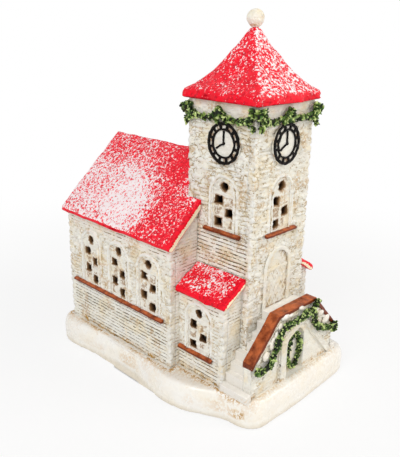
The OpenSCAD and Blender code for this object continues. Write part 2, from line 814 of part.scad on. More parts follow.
// Lean-to roof with a rolled eave, from the tower's side to the nave's front.
module annex_roof(s) {
    eave_x = annex_half(s) + annex_eave;
    eave_z = annex_top - annex_fall * (eave_x - tower_half);
    level = annex_roof_t / cos(annex_pitch);
    roll = [annex_roof_t / 2 * sin(annex_pitch) - eave_x, eave_z - annex_roof_t / 2 * cos(annex_pitch)];
    color(glaze_red) on_side(s) run_back(annex_set - annex_eave, nave_set) {
        polygon([
            [-eave_x, eave_z], 2 * roll - [-eave_x, eave_z],
            [-tower_half, annex_top - level], [-tower_half, annex_top]]);
        translate(roll) circle(d = annex_roof_t);
    }
}
module annex_roof_left() { annex_roof(-1); }
module annex_roof_right() { annex_roof(1); }

module annex_sill(s) {
    sill_y = nave_set - sill_end - sill_l / 2;
    color(glaze_brown) on_side(s) on_left(-annex_half(s), sill_y) sill(sill_l, annex_sill_z);
}
module annex_sill_left() { annex_sill(-1); }
module annex_sill_right() { annex_sill(1); }

// Puts a piece of the stair left or right of the stair's middle.
module on_stair(s) {
    on_site() translate([stair_shift, 0, 0]) mirror([s > 0 ? 1 : 0, 0, 0]) children();
}

// One flight: a stepped block before the tower that widens to the annex's front.
module stair(s) {
    treads = [for (k = [0 : risers - 2]) each [
        [-stair_half + k * tread_l, kerb_z + k * riser_h],
        [-stair_half + k * tread_l, kerb_z + (k + 1) * riser_h]]];
    foot = [[-landing_half, floor_z], [-stair_half, floor_z]];
    head = [[-landing_half, kerb_z + (risers - 1) * riser_h]];
    color(clay) difference() {
        on_stair(s) run_back(-stair_w, annex_set) polygon(concat(foot, treads, head));
        on_site() translate([-tower_half, 0, 0]) cube([tower_w, tower_d, tower_top]);
    }
}
module stair_left() { stair(-1); }
module stair_right() { stair(1); }

module landing() {
    color(clay) on_site() translate([stair_shift - landing_half, -stair_w, floor_z])
        cube([2 * landing_half, stair_w, landing_z - floor_z]);
}

module kerb(s) {
    out = porch_t + coping_out;
    color(clay) on_stair(s) translate([-stair_half - kerb_l, -stair_w - out, floor_z])
        cube([kerb_l, stair_w + out + annex_set, kerb_h]);
}
module kerb_left() { kerb(-1); }
module kerb_right() { kerb(1); }

// Outlines on the porch wall, as shares of half the stair's length and of the wall's height: the bay that holds
// the niche and a smooth panel, the band round it with a rib down to the right, and the smooth panel on the left.
bay_shares = [
    [-0.19, 0], [-0.21, 0.46], [-0.17, 0.61], [0, 0.69], [0.2, 0.74], [0.38, 0.56], [0.63, 0.3], [0.92, 0]
];
band_shares = [
    [-0.32, 0], [-0.345, 0.51], [-0.3, 0.66], [-0.15, 0.735], [0.08, 0.8], [0.24, 0.81], [0.45, 0.6],
    [0.71, 0.34], [0.99, 0.055], [0.99, 0]
];
panel_shares = [[-0.37, 0], [-0.38, 0.55], [-0.87, 0.06], [-0.9, 0]];
outline_steps = 3;
function on_porch(shares) = [for (p = shares) [p[0] * stair_half, p[1] * porch_h]];

module porch_wall() {
    arch_z = floor_z + niche_h - niche_w / 2;
    bay = open_spline(on_porch(bay_shares), outline_steps);
    color(clay) on_site() translate([stair_shift, 0, 0]) {
        difference() {
            run_back(-porch_front, -porch_back) polygon([
                [-stair_half, floor_z], [stair_half, floor_z], [stair_half, floor_z + porch_end_h],
                [porch_top_half, floor_z + porch_h], [-porch_top_half, floor_z + porch_h],
                [-stair_half, floor_z + porch_end_h]]);
            translate([niche_shift, -porch_front, arch_z]) on_front() translate([0, 0, -niche_in])
                linear_extrude(height = niche_in + over) arch(niche_w, niche_h);
            for (outline = [bay, on_porch(panel_shares)]) translate([0, -porch_front, floor_z]) on_front()
                translate([0, 0, -panel_in]) linear_extrude(height = panel_in + over) polygon(outline);
        }
        translate([0, -porch_front, floor_z]) on_front() linear_extrude(height = band_relief) difference() {
            polygon(open_spline(on_porch(band_shares), outline_steps));
            polygon(bay);
        }
    }
}

// Glazed coping that follows the top of the porch wall.
module porch_coping() {
    lift = coping_t / porch_cos;
    bend = porch_top_half + (lift - coping_t) / porch_rise;
    color(glaze_brown) on_site() translate([stair_shift, 0, 0])
        run_back(-porch_front - coping_out, -porch_back + coping_out) polygon([
            [-stair_half, floor_z + porch_end_h], [-porch_top_half, floor_z + porch_h],
            [porch_top_half, floor_z + porch_h], [stair_half, floor_z + porch_end_h],
            [stair_half, floor_z + porch_end_h + lift], [bend, floor_z + porch_h + coping_t],
            [-bend, floor_z + porch_h + coping_t], [-stair_half, floor_z + porch_end_h + lift]]);
}

// Routes of the porch's garland, of its tail and of its bow, as shares of half the stair's length and of
// the porch wall's height.
porch_garland_shares = [
    [-0.96, 0.44], [-0.84, 0.4], [-0.73, 0.4], [-0.64, 0.46], [-0.56, 0.58], [-0.5, 0.71], [-0.42, 0.82],
    [-0.3, 0.88], [-0.15, 0.88], [0.02, 0.89], [0.17, 0.91], [0.28, 0.92], [0.34, 0.84], [0.39, 0.72],
    [0.5, 0.6], [0.68, 0.51], [0.85, 0.47], [1.0, 0.48]
];
porch_tail_shares = [[0.98, 0.47], [0.955, 0.42], [0.95, 0.36]];
porch_bow_shares = [[0.24, 0.9], [0.33, 0.93], [0.4, 0.98], [0.43, 1.04]];

module porch_garland() {
    steps = 3;
    color(leaf) on_site() translate([stair_shift, -porch_front - max(band_relief, coping_out), 0]) on_front()
        for (shares = [porch_garland_shares, porch_tail_shares, porch_bow_shares]) {
            route = open_spline([for (p = shares) [p[0] * stair_half, floor_z + p[1] * porch_h]], steps);
            loft(strand(route, porch_garland_d, false));
        }
}

// Long wreath that hangs in the niche, fuller at its foot.
module porch_wreath() {
    steps = 36;
    a = (wreath_w - wreath_d) / 2;
    b = (wreath_h - wreath_d) / 2;
    middle = floor_z + niche_h / 2;
    route = [for (k = [0 : steps - 1]) [a * cos(360 * k / steps), middle + b * sin(360 * k / steps)]];
    color(leaf) on_site() translate([stair_shift + niche_shift, -porch_front + niche_in, 0]) on_front()
        loop_skin(strand(route, wreath_d, true));
}

// Puts a piece of the battery light in its place on the floor.
module on_floor() {
    on_site() translate([0, light_back, 0]) children();
}

module light_case() {
    hole = flame_d / 2 + play;
    color("#f3efe6") on_floor() rotate_extrude() polygon([
        [light_in, light_z], [light_r, light_z], [light_r, case_top], [light_in, case_top],
        [light_in - light_t, case_top - dish], [hole, case_top - dish], [hole, case_top - dish - light_t],
        [light_in, case_top - dish - light_t]]);
}

module light_base() {
    r = light_in - play;
    color("#e6e2d8") on_floor() difference() {
        translate([0, 0, base_z]) cylinder(r = r, h = light_base_t);
        translate([0, 0, base_z - over]) cylinder(d = cover_d + 2 * play, h = light_base_t + 2 * over);
        rotate([0, 0, cover_turn]) lugs(base_z - over, light_base_t + 2 * over, play);
        translate([switch_x - switch_w / 2, -switch_l / 2, base_z - over])
            cube([switch_w, switch_l, light_base_t + 2 * over]);
    }
}

// The cover's two lugs, or with room the notches that they drop through.
module lugs(z, h, room) {
    for (a = [90, 270]) rotate([0, 0, a]) intersection() {
        translate([cell_d / 2 + play, -lug_w / 2 - room, z]) cube([cover_d, lug_w + 2 * room, h]);
        translate([0, 0, z]) cylinder(r = cover_d / 2 + lug_out + room, h = h);
    }
}

// Round battery cover with a slot for a coin. Its lugs lie over the base until it is turned.
module light_cover() {
    slot_w = light_base_t;
    slot_l = cover_d / 2;
    color("#e6e2d8") on_floor() {
        difference() {
            translate([0, 0, base_z]) cylinder(d = cover_d, h = light_base_t);
            translate([-slot_l / 2, -slot_w / 2, base_z - over])
                cube([slot_l, slot_w, over + light_base_t / 2]);
        }
        intersection() {
            lugs(base_z + light_base_t, play, 0);
            translate([0, 0, base_z]) cylinder(d = cover_d, h = light_h);
        }
        lugs(base_z + light_base_t + play, light_base_t / 2, 0);
    }
}

// Slide switch: a knob in the slot under a plate that keeps it in.
module light_switch() {
    knob_l = switch_l - switch_go - 2 * play;
    start = -switch_l / 2 + play;
    color("#2b2b2b") on_floor() {
        translate([switch_x - switch_w / 2 + play, start, base_z])
            cube([switch_w - 2 * play, knob_l, light_base_t + play]);
        translate([switch_x - switch_w / 2 - switch_lip, start, base_z + light_base_t + play])
            cube([switch_w + 2 * switch_lip, knob_l, light_base_t / 2]);
    }
}

module light_cell() {
    color("silver") on_floor() translate([0, 0, cell_z]) cylinder(d = cell_d, h = cell_t);
}

// Spring strip that stands on the base, rises beside the cell and reaches in over it to the lamp's first leg.
module light_contact() {
    low = base_z + light_base_t;
    stand = cover_d / 2 + 2 * play;
    foot = (stand + light_in) / 2;
    near = leg_x - leg / 2;
    color("gold") on_floor() run_back(-contact_w / 2, contact_w / 2) mirror([1, 0]) polygon([
        [near, contact_z], [stand, contact_z], [stand, low], [foot, low], [foot, low + contact_t],
        [stand + contact_t, low + contact_t], [stand + contact_t, contact_z + contact_t],
        [near, contact_z + contact_t]]);
}

// Lamp with its collar and two legs, one on the spring strip and one on the cell.
module light_lamp() {
    collar_share = 1.12;
    collar_h = led_d / 5;
    low = case_top - led_d;
    color("#fff2c0") on_floor() {
        translate([0, 0, case_top]) sphere(d = led_d);
        translate([0, 0, low]) cylinder(d = led_d, h = led_d);
        translate([0, 0, low]) cylinder(d = led_d * collar_share, h = collar_h);
        for (s = [-1, 1]) let (foot = s < 0 ? contact_z + contact_t : cell_z + cell_t)
            translate([s * leg_x - leg / 2, -leg / 2, foot]) cube([leg, leg, low - foot]);
    }
}

// Hollow flame that stands in the case's hole on a flange.
module light_flame() {
    foot = case_top - dish;
    under = foot - light_t;
    flange_share = 1.5;
    flange_r = flame_d / 2 * flange_share;
    belly_share = 0.25;
    taper_power = 0.9;
    hollow_share = 1.5;
    steps = 12;
    lamp_room = led_d / 2 + 3 * play;
    outside = [for (k = [0 : steps]) let (t = k / steps, belly = 1 + belly_share * sin(180 * t) * (1 - t))
        [max(flame_d / 2 * cos(90 * t) * belly, 0), foot + flame_h * pow(t, taper_power)]];
    color("#fbe7b0") on_floor() rotate_extrude() polygon(concat(
        [[lamp_room, under - light_t], [flange_r, under - light_t], [flange_r, under], [flame_d / 2, under]],
        outside, [[0, case_top + hollow_share * led_d], [lamp_room, case_top]]));
}

snow_plinth();
nave_wall_left();
nave_wall_right();
nave_front_left();
nave_front_right();
nave_wall_rear();
nave_roof_left();
nave_roof_right();
nave_sill_left();
nave_sill_right();
tower_wall_front();
tower_wall_left();
tower_wall_right();
tower_wall_rear();
tower_roof();
finial_ball();
tower_sill_left();
tower_sill_right();
tower_sill_front();
clock_dial_left();
clock_dial_right();
clock_dial_front();
clock_rings_left();
clock_rings_right();
clock_rings_front();
clock_hands_left();
clock_hands_right();
clock_hands_front();
garland_left();
garland_right();
garland_front();
garland_rear();
tower_door();
door_frame();
annex_wall_left();
annex_wall_right();
annex_front_left();
annex_front_right();
annex_roof_left();
annex_roof_right();
annex_sill_left();
annex_sill_right();
stair_left();
stair_right();
landing();
kerb_left();
kerb_right();
porch_wall();
porch_coping();
porch_garland();
porch_wreath();
light_case();
light_base();
light_flame();
light_lamp();
light_cell();
light_contact();
light_switch();
light_cover();
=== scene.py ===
"""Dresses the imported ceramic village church: stone relief, speckled roofs, leaf garlands and glazes."""

import itertools
import math
import random

import bmesh
import bpy
import numpy as np
from mathutils import Euler, Matrix, Vector


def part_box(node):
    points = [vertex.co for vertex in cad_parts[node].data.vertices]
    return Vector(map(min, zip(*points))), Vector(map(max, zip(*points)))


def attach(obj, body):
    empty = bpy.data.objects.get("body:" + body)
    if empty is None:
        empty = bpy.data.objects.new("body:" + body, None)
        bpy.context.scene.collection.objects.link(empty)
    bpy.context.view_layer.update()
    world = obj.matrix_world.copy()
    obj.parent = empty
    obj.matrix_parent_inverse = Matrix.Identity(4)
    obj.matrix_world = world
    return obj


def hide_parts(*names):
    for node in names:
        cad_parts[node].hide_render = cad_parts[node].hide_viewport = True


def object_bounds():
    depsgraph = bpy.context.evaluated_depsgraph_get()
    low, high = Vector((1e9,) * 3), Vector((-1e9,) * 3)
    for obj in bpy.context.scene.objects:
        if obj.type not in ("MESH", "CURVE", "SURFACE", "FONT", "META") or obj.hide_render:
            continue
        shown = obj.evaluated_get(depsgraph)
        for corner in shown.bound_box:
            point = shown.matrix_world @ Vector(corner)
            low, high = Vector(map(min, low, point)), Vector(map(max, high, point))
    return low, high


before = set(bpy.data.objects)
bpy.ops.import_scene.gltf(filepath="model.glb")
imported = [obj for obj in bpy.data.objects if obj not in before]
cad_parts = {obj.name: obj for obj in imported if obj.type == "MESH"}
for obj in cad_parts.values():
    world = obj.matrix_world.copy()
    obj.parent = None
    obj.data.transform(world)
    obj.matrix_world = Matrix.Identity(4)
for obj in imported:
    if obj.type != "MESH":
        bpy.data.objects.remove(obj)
CAD_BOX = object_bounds()

bl_info = {
    "name": "Ceramic village church",
    "version": (1, 0, 0),
    "blender": (4, 5, 0),
    "location": "View3D > Sidebar > Church",
    "description": "Builds the hand-made look of a lit ceramic church on its packed frame",
    "category": "Object",
}

MM = 0.001

# Where things stand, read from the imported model.
TOWER_LOW, TOWER_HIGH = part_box("tower_wall_front")
TOWER_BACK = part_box("tower_wall_rear")[1].y
FLOOR_Z = TOWER_LOW.z
NAVE_LOW, NAVE_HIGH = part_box("nave_wall_left")
NAVE_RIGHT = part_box("nave_wall_right")[1].x
ANNEX_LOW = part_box("annex_wall_left")[0]
ANNEX_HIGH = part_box("annex_wall_right")[1]
PORCH_LOW, PORCH_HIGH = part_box("porch_wall")
STAIR_X = (PORCH_LOW.x + PORCH_HIGH.x) / 2

# Places that follow the photograph, in millimetres: the nave's windows along their wall, the centres of the arches
# over the sills, the annex's window ahead of the nave, the courses of the corner stones, the boards under the eaves,
# the smooth plaster's height, how far the windows' rims stand out, and the camera with what it looks at.
WINDOW_STEP, WINDOW_SHIFT = 32.8, 2.7
NAVE_ARCH, ARCH = 30.4, 23.2
ANNEX_WINDOW = 18.4
CORNER_STONE = 5.2
EAVE_BOARDS = 13
PLASTER = (186, 190)
RIM = 0.9
EYE, TARGET = (-289.63, -283.51, 241.82), (-13.23, -13.0, 108.67)

# What the clay reads at each point.
CLAY_MARKS = ("wash", "ridge", "stain", "depth", "smear", "worn", "row", "lines")


# Number craft -------------------------------------------------


def hashed(seed, *cells):
    """Even random numbers from 0 to 1 for whole-number cells."""
    mask = 0xFFFFFFFF
    h = np.full(np.shape(cells[0]), seed * 974634777 & mask, np.int64)
    for cell, prime in zip(cells, (374761393, 668265263, 2246822519)):
        h = (h + np.asarray(cell).astype(np.int64) * prime) & mask
        h = ((h ^ (h >> 13)) * 1274126177) & mask
    return ((h ^ (h >> 16)) & 0xFFFF) / 65535.0


def cloud(p, size, seed):
    """Smooth lumps from 0 to 1, about a size in millimetres across, at points p."""
    q = p / (size * MM)
    cell = np.floor(q).astype(np.int64)
    f = q - cell
    f = f * f * (3 - 2 * f)
    total = np.zeros(len(p))
    for corner in itertools.product((0, 1), repeat=3):
        weight = np.ones(len(p))
        for axis in range(3):
            weight *= f[:, axis] if corner[axis] else 1 - f[:, axis]
        total += weight * hashed(seed, *(cell[:, axis] + corner[axis] for axis in range(3)))
    return total


def rough(p, size, seed, layers=3):
    """Lumps within lumps, from -0.5 to 0.5."""
    total, reach = np.zeros(len(p)), 0.0
    for layer in range(layers):
        share = 0.5**layer
        total += share * (cloud(p, size / 2**layer, seed + 31 * layer) - 0.5)
        reach += share
    return total / reach


def shake(p, size, seed):
    """Lumps of their own for each of the three directions."""
    return np.stack([rough(p, size, seed + k) for k in range(3)], 1)


def ease(low, high, value):
    """Rises smoothly from 0 at low to 1 at high."""
    t = np.clip((value - low) / (high - low), 0, 1)
    return t * t * (3 - 2 * t)


def ramp(low, high, length):
    """The same between two lengths in millimetres."""
    return ease(low * MM, high * MM, length)


def patchy(low, high, p, size, seed):
    """Patches that fade between two levels of a cloud."""
    return ease(low, high, cloud(p, size, seed))


def bell(value, centre, width):
    """1 at the centre, falling off to both sides."""
    return np.exp(-(((value - centre) / width) ** 2))


def from_line(row):
    """How far a row number is from a whole one."""
    return np.minimum(row % 1, 1 - row % 1)


def laid_flat(u, v, layer):
    """Points of a wall's face as a flat sheet, for noise."""
    return np.stack([u, v, np.full_like(u, layer)], 1)


def middle(box, axis):
    return (box[0][axis] + box[1][axis]) / 2


# Mesh craft ---------------------------------------------------


def merged_copy(node):
    """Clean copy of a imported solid, its flat faces whole."""
    bm = bmesh.new()
    bm.from_mesh(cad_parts[node].data)
    bmesh.ops.remove_doubles(bm, verts=bm.verts[:], dist=2e-6)
    bmesh.ops.dissolve_limit(
        bm, angle_limit=math.radians(0.4), verts=bm.verts[:], edges=bm.edges[:], use_dissolve_boundaries=False
    )
    return bm


def slice_faces(bm, faces, axis, step):
    """Cuts faces with planes a step apart across an axis, and returns them all."""
    places = [v.co[axis] for f in faces for v in f.verts]
    low, high = min(places), max(places)
    count = max(1, round((high - low) / step))
    normal = Vector([float(axis == k) for k in range(3)])
    waiting, done = list(faces), []
    for k in range(1, count):
        at = low + (high - low) * k / count
        edges = {e for f in waiting for e in f.edges}
        verts = {v for f in waiting for v in f.verts}
        cut = bmesh.ops.bisect_plane(
            bm, geom=waiting + list(edges) + list(verts), dist=1e-7, plane_co=normal * at, plane_no=normal
        )
        now = [g for g in cut["geom"] if isinstance(g, bmesh.types.BMFace)]
        waiting = [f for f in now if f.calc_center_median()[axis] > at]
        done += [f for f in now if f.calc_center_median()[axis] <= at]
        if not waiting:
            break
    return done + waiting


def grid(bm, faces, step, merge):
    """Cuts each face along the two axes that it lies along, and merges points closer than some millimetres."""
    for normal_axis in range(3):
        group = [f for f in faces if f.is_valid and max(range(3), key=lambda k: abs(f.normal[k])) == normal_axis]
        for axis in range(3):
            if axis != normal_axis and group:
                group = slice_faces(bm, group, axis, step)
    bmesh.ops.remove_doubles(bm, verts=bm.verts[:], dist=merge * MM)


def sharp_edges(bm, degrees):
    return [e for e in bm.edges if len(e.link_faces) == 2 and e.calc_face_angle(0) > math.radians(degrees)]


def round_edges(bm, size, sharp=35):
    """Bevels the edges that turn more sharply than an angle in degrees; the size is in millimetres."""
    bmesh.ops.bevel(
        bm, geom=sharp_edges(bm, sharp), offset=size * MM, offset_type="OFFSET", segments=2, profile=0.5,
        affect="EDGES", clamp_overlap=True, material=-1,
    )


def relax(bm, verts, factor):
    """Rounds off the corners between faces by hand-like smoothing."""
    bmesh.ops.smooth_vert(bm, verts=verts, factor=factor, use_axis_x=True, use_axis_y=True, use_axis_z=True)


def as_piece(bm, name, material, node=None, body="house"):
    """Makes an object from a bmesh, and ties it to its body and the solid that it replaces."""
    mesh = bpy.data.meshes.new(name)
    bm.to_mesh(mesh)
    bm.free()
    mesh.polygons.foreach_set("use_smooth", [True] * len(mesh.polygons))
    obj = bpy.data.objects.new(name, mesh)
    bpy.context.scene.collection.objects.link(obj)
    mesh.materials.append(material)
    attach(obj, body)
    if node:
        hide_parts(node)
    return obj


def numbers_of(items, name, width, kind):
    values = np.empty(len(items) * width, kind)
    items.foreach_get(name, values)
    return values.reshape(-1, width)


def points_of(mesh):
    """Places of a mesh's points, one row each."""
    return numbers_of(mesh.vertices, "co", 3, float)


def normals_of(mesh):
    """Outward directions at the points."""
    return numbers_of(mesh.vertices, "normal", 3, float)


def edges_of(mesh):
    """Pairs of point numbers, one row for each edge."""
    return numbers_of(mesh.edges, "vertices", 2, np.int32)


def put_points(mesh, p):
    """Writes the places back."""
    mesh.vertices.foreach_set("co", np.ascontiguousarray(p).ravel())
    mesh.update()


def around(values, edges):
    """Mean of the neighbours' values at each point."""
    size = len(values)
    ends, others = edges.ravel(), edges[:, ::-1].ravel()
    count = np.maximum(np.bincount(ends, minlength=size), 1)
    return np.bincount(ends, weights=values[others], minlength=size) / count


def spread(values, edges, times):
    """Averages values with their neighbours'."""
    for _ in range(times):
        values = (values + 2 * around(values, edges)) / 3
    return values


def hollows(mesh, scale, times=1):
    """How deep each point lies in a hollow, or below zero how far it stands on a ridge, -1 to 1."""
    p, e, n = points_of(mesh), edges_of(mesh), normals_of(mesh)
    sunk = sum((around(p[:, axis], e) - p[:, axis]) * n[:, axis] for axis in range(3))
    return spread(np.clip(sunk / (scale * MM), -1, 1), e, times)


def store(mesh, name, values):
    """Keeps one number for each point, for the materials to read."""
    layer = mesh.attributes.get(name) or mesh.attributes.new(name, "FLOAT", "POINT")
    layer.data.foreach_set("value", np.full(len(mesh.vertices), values, np.float32))


def wear(mesh, sunk, **marks):
    """Keeps what the clay reads: wash and painted shade in the hollows, brushed white and painted highlight on the
    ridges, and the marks that are given.
    """
    # Painted shade in the hollows goes with the wash; painted highlight, with brushed white, goes on the ridges.
    marks = {"wash": np.maximum(sunk, 0), "ridge": np.maximum(-sunk, 0), **marks}
    for name in CLAY_MARKS:
        store(mesh, name, marks.get(name, 0))


# Material craft -----------------------------------------------


def look():
    return bpy.context.scene.church_look


def sizes():
    return bpy.context.scene.church_sizes


def tint(red, green, blue):
    """Turns a colour as it is seen on screen, 0 to 255, into Blender's own."""
    return tuple(
        c / 12.92 if c <= 0.04045 else ((c + 0.055) / 1.055) ** 2.4
        for c in (red / 255, green / 255, blue / 255)
    )


def paint(colour):
    """One of the look's colours by its name, or a colour as it is."""
    return tuple(getattr(look(), colour) if isinstance(colour, str) else colour)


def fill(tree, node, inputs):
    """Fills a node's sockets with links, numbers or colours."""
    for socket, value in inputs.items():
        if isinstance(value, bpy.types.NodeSocket):
            tree.links.new(value, node.inputs[socket])
        else:
            colour = isinstance(value, tuple) and node.inputs[socket].type == "RGBA"
            node.inputs[socket].default_value = (*value, 1) if colour else value


def add_node(tree, kind, inputs, **settings):
    node = tree.nodes.new("ShaderNode" + kind)
    for name, value in settings.items():
        setattr(node, name, value)
    fill(tree, node, inputs)
    return node


class Recipe:
    """A material under construction, with short ways to add the nodes that the glazes need; sizes in millimetres."""

    def __init__(self, name, colour, roughness, **sockets):
        self.material = bpy.data.materials.new(name)
        self.material.use_nodes = True
        self.tree = self.material.node_tree
        self.shader = self.tree.nodes["Principled BSDF"]
        self.base = paint(colour)
        fixed = {socket.replace("_", " "): value for socket, value in sockets.items()}
        fill(self.tree, self.shader, {"Base Color": self.base, "Roughness": roughness, **fixed})
        self.place = self.add("TexCoord", {}, "Object")

    def add(self, kind, inputs, output=0, **settings):
        return add_node(self.tree, kind, inputs, **settings).outputs[output]

    def number(self, name):
        return self.add("Attribute", {}, "Fac", attribute_name=name)

    def stretched(self, stretch):
        """Object coordinates, pulled by a factor along each axis."""
        if not stretch:
            return self.place
        return self.add("Mapping", {"Scale": stretch, "Vector": self.place}, "Vector")

    def noise(self, size, detail=3, rough=0.6, stretch=None, distortion=0.0):
        """Noise whose lumps are about a size across."""
        inputs = {"Scale": 1 / (size * MM), "Detail": detail, "Roughness": rough, "Distortion": distortion}
        return self.add("TexNoise", {**inputs, "Vector": self.stretched(stretch)}, "Fac")

    def cracks(self, size, stretch):
        """Distance from the edges of broken cells that are about a size across."""
        inputs = {"Scale": 1 / (size * MM), "Vector": self.stretched(stretch)}
        return self.add("TexVoronoi", inputs, "Distance", feature="DISTANCE_TO_EDGE")

    def between(self, value, low, high, to_low=0.0, to_high=1.0, smooth=True):
        inputs = {"From Min": low, "From Max": high, "To Min": to_low, "To Max": to_high, "Value": value}
        return self.add("MapRange", inputs, "Result", interpolation_type="SMOOTHSTEP" if smooth else "LINEAR")

    def patches(self, size, low, high, to_low=0.0, to_high=1.0, detail=3, rough=0.6):
        """Noise that fades between two of its levels."""
        return self.between(self.noise(size, detail, rough), low, high, to_low, to_high)

    def maths(self, operation, a, b, clamp=False):
        return self.add("Math", {0: a, 1: b}, operation=operation, use_clamp=clamp)

    def times(self, a, b, clamp=False):
        return self.maths("MULTIPLY", a, b, clamp)

    def coat(self, colour, share):
        """Lays a colour over what is there, as thickly as the share says."""
        self.base = self.add("Mix", {0: share, 6: self.base, 7: paint(colour)}, 2, data_type="RGBA")

    def finish(self, roughness, height, distance, strength=1.0):
        """Feeds the shader, with relief from a height, and returns the material."""
        relief = self.add("Bump", {"Strength": strength, "Distance": distance * MM, "Height": height}, "Normal")
        fill(self.tree, self.shader, {"Base Color": self.base, "Roughness": roughness, "Normal": relief})
        return self.material


def clay():
    """Matt white clay, rubbed with a brown wash that stays in joints, cracks and pits, with painted shade in the
    hollows and inside the openings, and painted highlight on the ridges.
    """
    r = Recipe("washed clay", "clay", 0.62, Specular_IOR_Level=0.2)
    wash, ridge, stain, depth, smear, worn, row, lines = (r.number(name) for name in CLAY_MARKS)
    fine = r.noise(1.2, 4, 0.7)
    pits = r.noise(3.4, 4, 0.7, (1, 1, 2.2), 0.4)
    cracks = r.times(r.between(r.cracks(4.8, (1, 1, 1.9)), 0, 0.14, 1, 0), r.patches(5, 0.44, 0.62), True)
    hollow = r.maths("MAXIMUM", r.between(pits, 0.32, 0.46, 0.75, 0), r.times(cracks, 0.7))
    hollow = r.times(hollow, worn)
    # The wash mask holds painted shade from the hollows as well as the joints' wash.
    joint = r.times(wash, r.patches(2.6, 0.4, 0.64, 0.15, 0.9, rough=0.7))
    # The line between two courses is drawn where the row number passes a whole one.
    part = r.maths("PINGPONG", r.maths("ADD", row, r.between(fine, 0.2, 0.8, -0.09, 0.09, False)), 0.5)
    line = r.times(r.between(part, 0.05, 0.19, 1, 0), lines)
    line = r.times(line, r.patches(3.2, 0.42, 0.54, 0.25, 1.1, rough=0.7))
    hollow = r.maths("MAXIMUM", r.maths("MAXIMUM", hollow, joint), line)
    r.coat("clay_grey", r.patches(9, 0.38, 0.66))
    r.coat("clay_warm", r.patches(14, 0.46, 0.66, 0, 0.75))
    r.coat("clay_wash", r.between(fine, 0.54, 0.72, 0, 0.16))
    r.coat("clay_wash", r.between(hollow, 0.14, 0.6, 0, 0.88))
    r.coat("clay_dark", r.between(hollow, 0.5, 1, 0, 0.9))
    # Painted highlight, with brushed white, on the ridges and on the peaks of the pits' noise.
    bright = r.maths("MAXIMUM", r.between(ridge, 0.12, 0.7, 0, 0.9), r.between(pits, 0.54, 0.66, 0, 0.9))
    r.coat("clay_white", r.times(bright, r.between(hollow, 0.1, 0.45, 1, 0)))
    r.coat("ochre", r.times(stain, r.patches(1.9, 0.42, 0.6, 0, 1, 4, 0.7), True))
    # Brown smear round the openings, with painted shade in them and in the blind panes.
    burnt_and_shaded = r.times(smear, r.patches(1.8, 0.36, 0.54, 0.1, 1, 4, 0.7), True)
    r.coat("burnt_clay", r.between(burnt_and_shaded, 0.1, 0.6, 0, 0.8))
    # Painted shade: the deeper a face lies inside the wall, the browner and darker it is.
    r.coat("burnt_clay", r.between(depth, 0.03, 0.3))
    r.coat("bare_clay", r.between(depth, 0.3, 0.85))
    height = r.maths("SUBTRACT", r.maths("ADD", r.times(fine, 0.5), pits), r.times(hollow, 0.3))
    return r.finish(r.between(fine, 0.3, 0.7, 0.42, 0.75), height, 1.35)


def roof_glaze():
    """Satin red glaze under fine dabs of rough white, bare clay under its edges."""
    r = Recipe("speckled red glaze", "red", 0.34, Specular_IOR_Level=0.15)
    grains = r.times(r.noise(2.3, 3, 0.85, distortion=0.4), 0.5)
    for size, share in ((1.4, 0.38), (0.6, 0.12)):
        grains = r.maths("ADD", grains, r.times(r.noise(size, 2), share))
    # More cover lowers the height that a grain has to reach to turn white.
    level = r.maths("SUBTRACT", r.maths("ADD", grains, r.times(r.number("snow"), 0.3)), 0.66)
    white = r.between(level, -0.012, 0.02)
    r.coat("red_deep", r.patches(6, 0.35, 0.7))
    r.coat("red_dark", r.patches(2.4, 0.36, 0.48, 0.6, 0))
    r.coat("rose", r.between(level, -0.07, 0, 0, 0.32))
    r.coat("dust", white)
    edge = r.maths("ADD", r.number("bare"), r.patches(2.2, 0.3, 0.7, -0.3, 0.3))
    r.coat("clay_warm", r.between(edge, 0.45, 0.6))
    return r.finish(r.between(white, 0, 1, 0.24, 0.75, False), level, 0.9, 0.8)


def brown_glaze():
    """Glossy brown glaze that breaks to terracotta where it is thin, laid as painted light mostly on upward faces."""
    r = Recipe("brown glaze", "brown", 0.28, Specular_IOR_Level=0.2)
    thin = r.patches(5, 0.24, 0.74, rough=0.55)
    # Painted light: the thin terracotta shows mostly on faces that look up.
    r.coat("terracotta", r.times(thin, r.between(r.number("top"), 0, 1, 0.1, 0.85)))
    r.coat("brown_dark", r.patches(1.2, 0.6, 0.75, 0, 0.6))
    r.coat("clay_warm", r.patches(1.7, 0.66, 0.74, 0, 0.75, 4, 0.7))
    return r.finish(r.between(thin, 0, 1, 0.26, 0.42, False), r.noise(2.2, 3, 0.55), 0.3, 0.4)


def leaf_glaze():
    """Green leaves of many tones, with painted highlight pale at their tips and painted shade nearly black between
    them.
    """
    r = Recipe("leaf glaze", "leaf", 0.45, Specular_IOR_Level=0.2)
    r.base = paint("leaf_dark")
    tone, tip = r.number("tone"), r.number("tip")
    r.coat("leaf", r.between(tone, 0.1, 0.7))
    r.coat("leaf_yellow", r.between(tone, 0.5, 1, 0, 0.9))
    r.coat("leaf_yellow", r.patches(5, 0.48, 0.64, 0, 0.5))
    # Painted highlight on the leaves' tips.
    r.coat("leaf_pale", r.times(r.between(tip, 0.5, 0.9), r.between(tone, 0.35, 0.85)))
    r.coat("leaf_shade", r.between(tip, 0.2, 0.55, 1, 0))
    return r.finish(r.between(tip, 0, 1, 0.6, 0.38, False), r.noise(0.6), 0.25, 0.5)


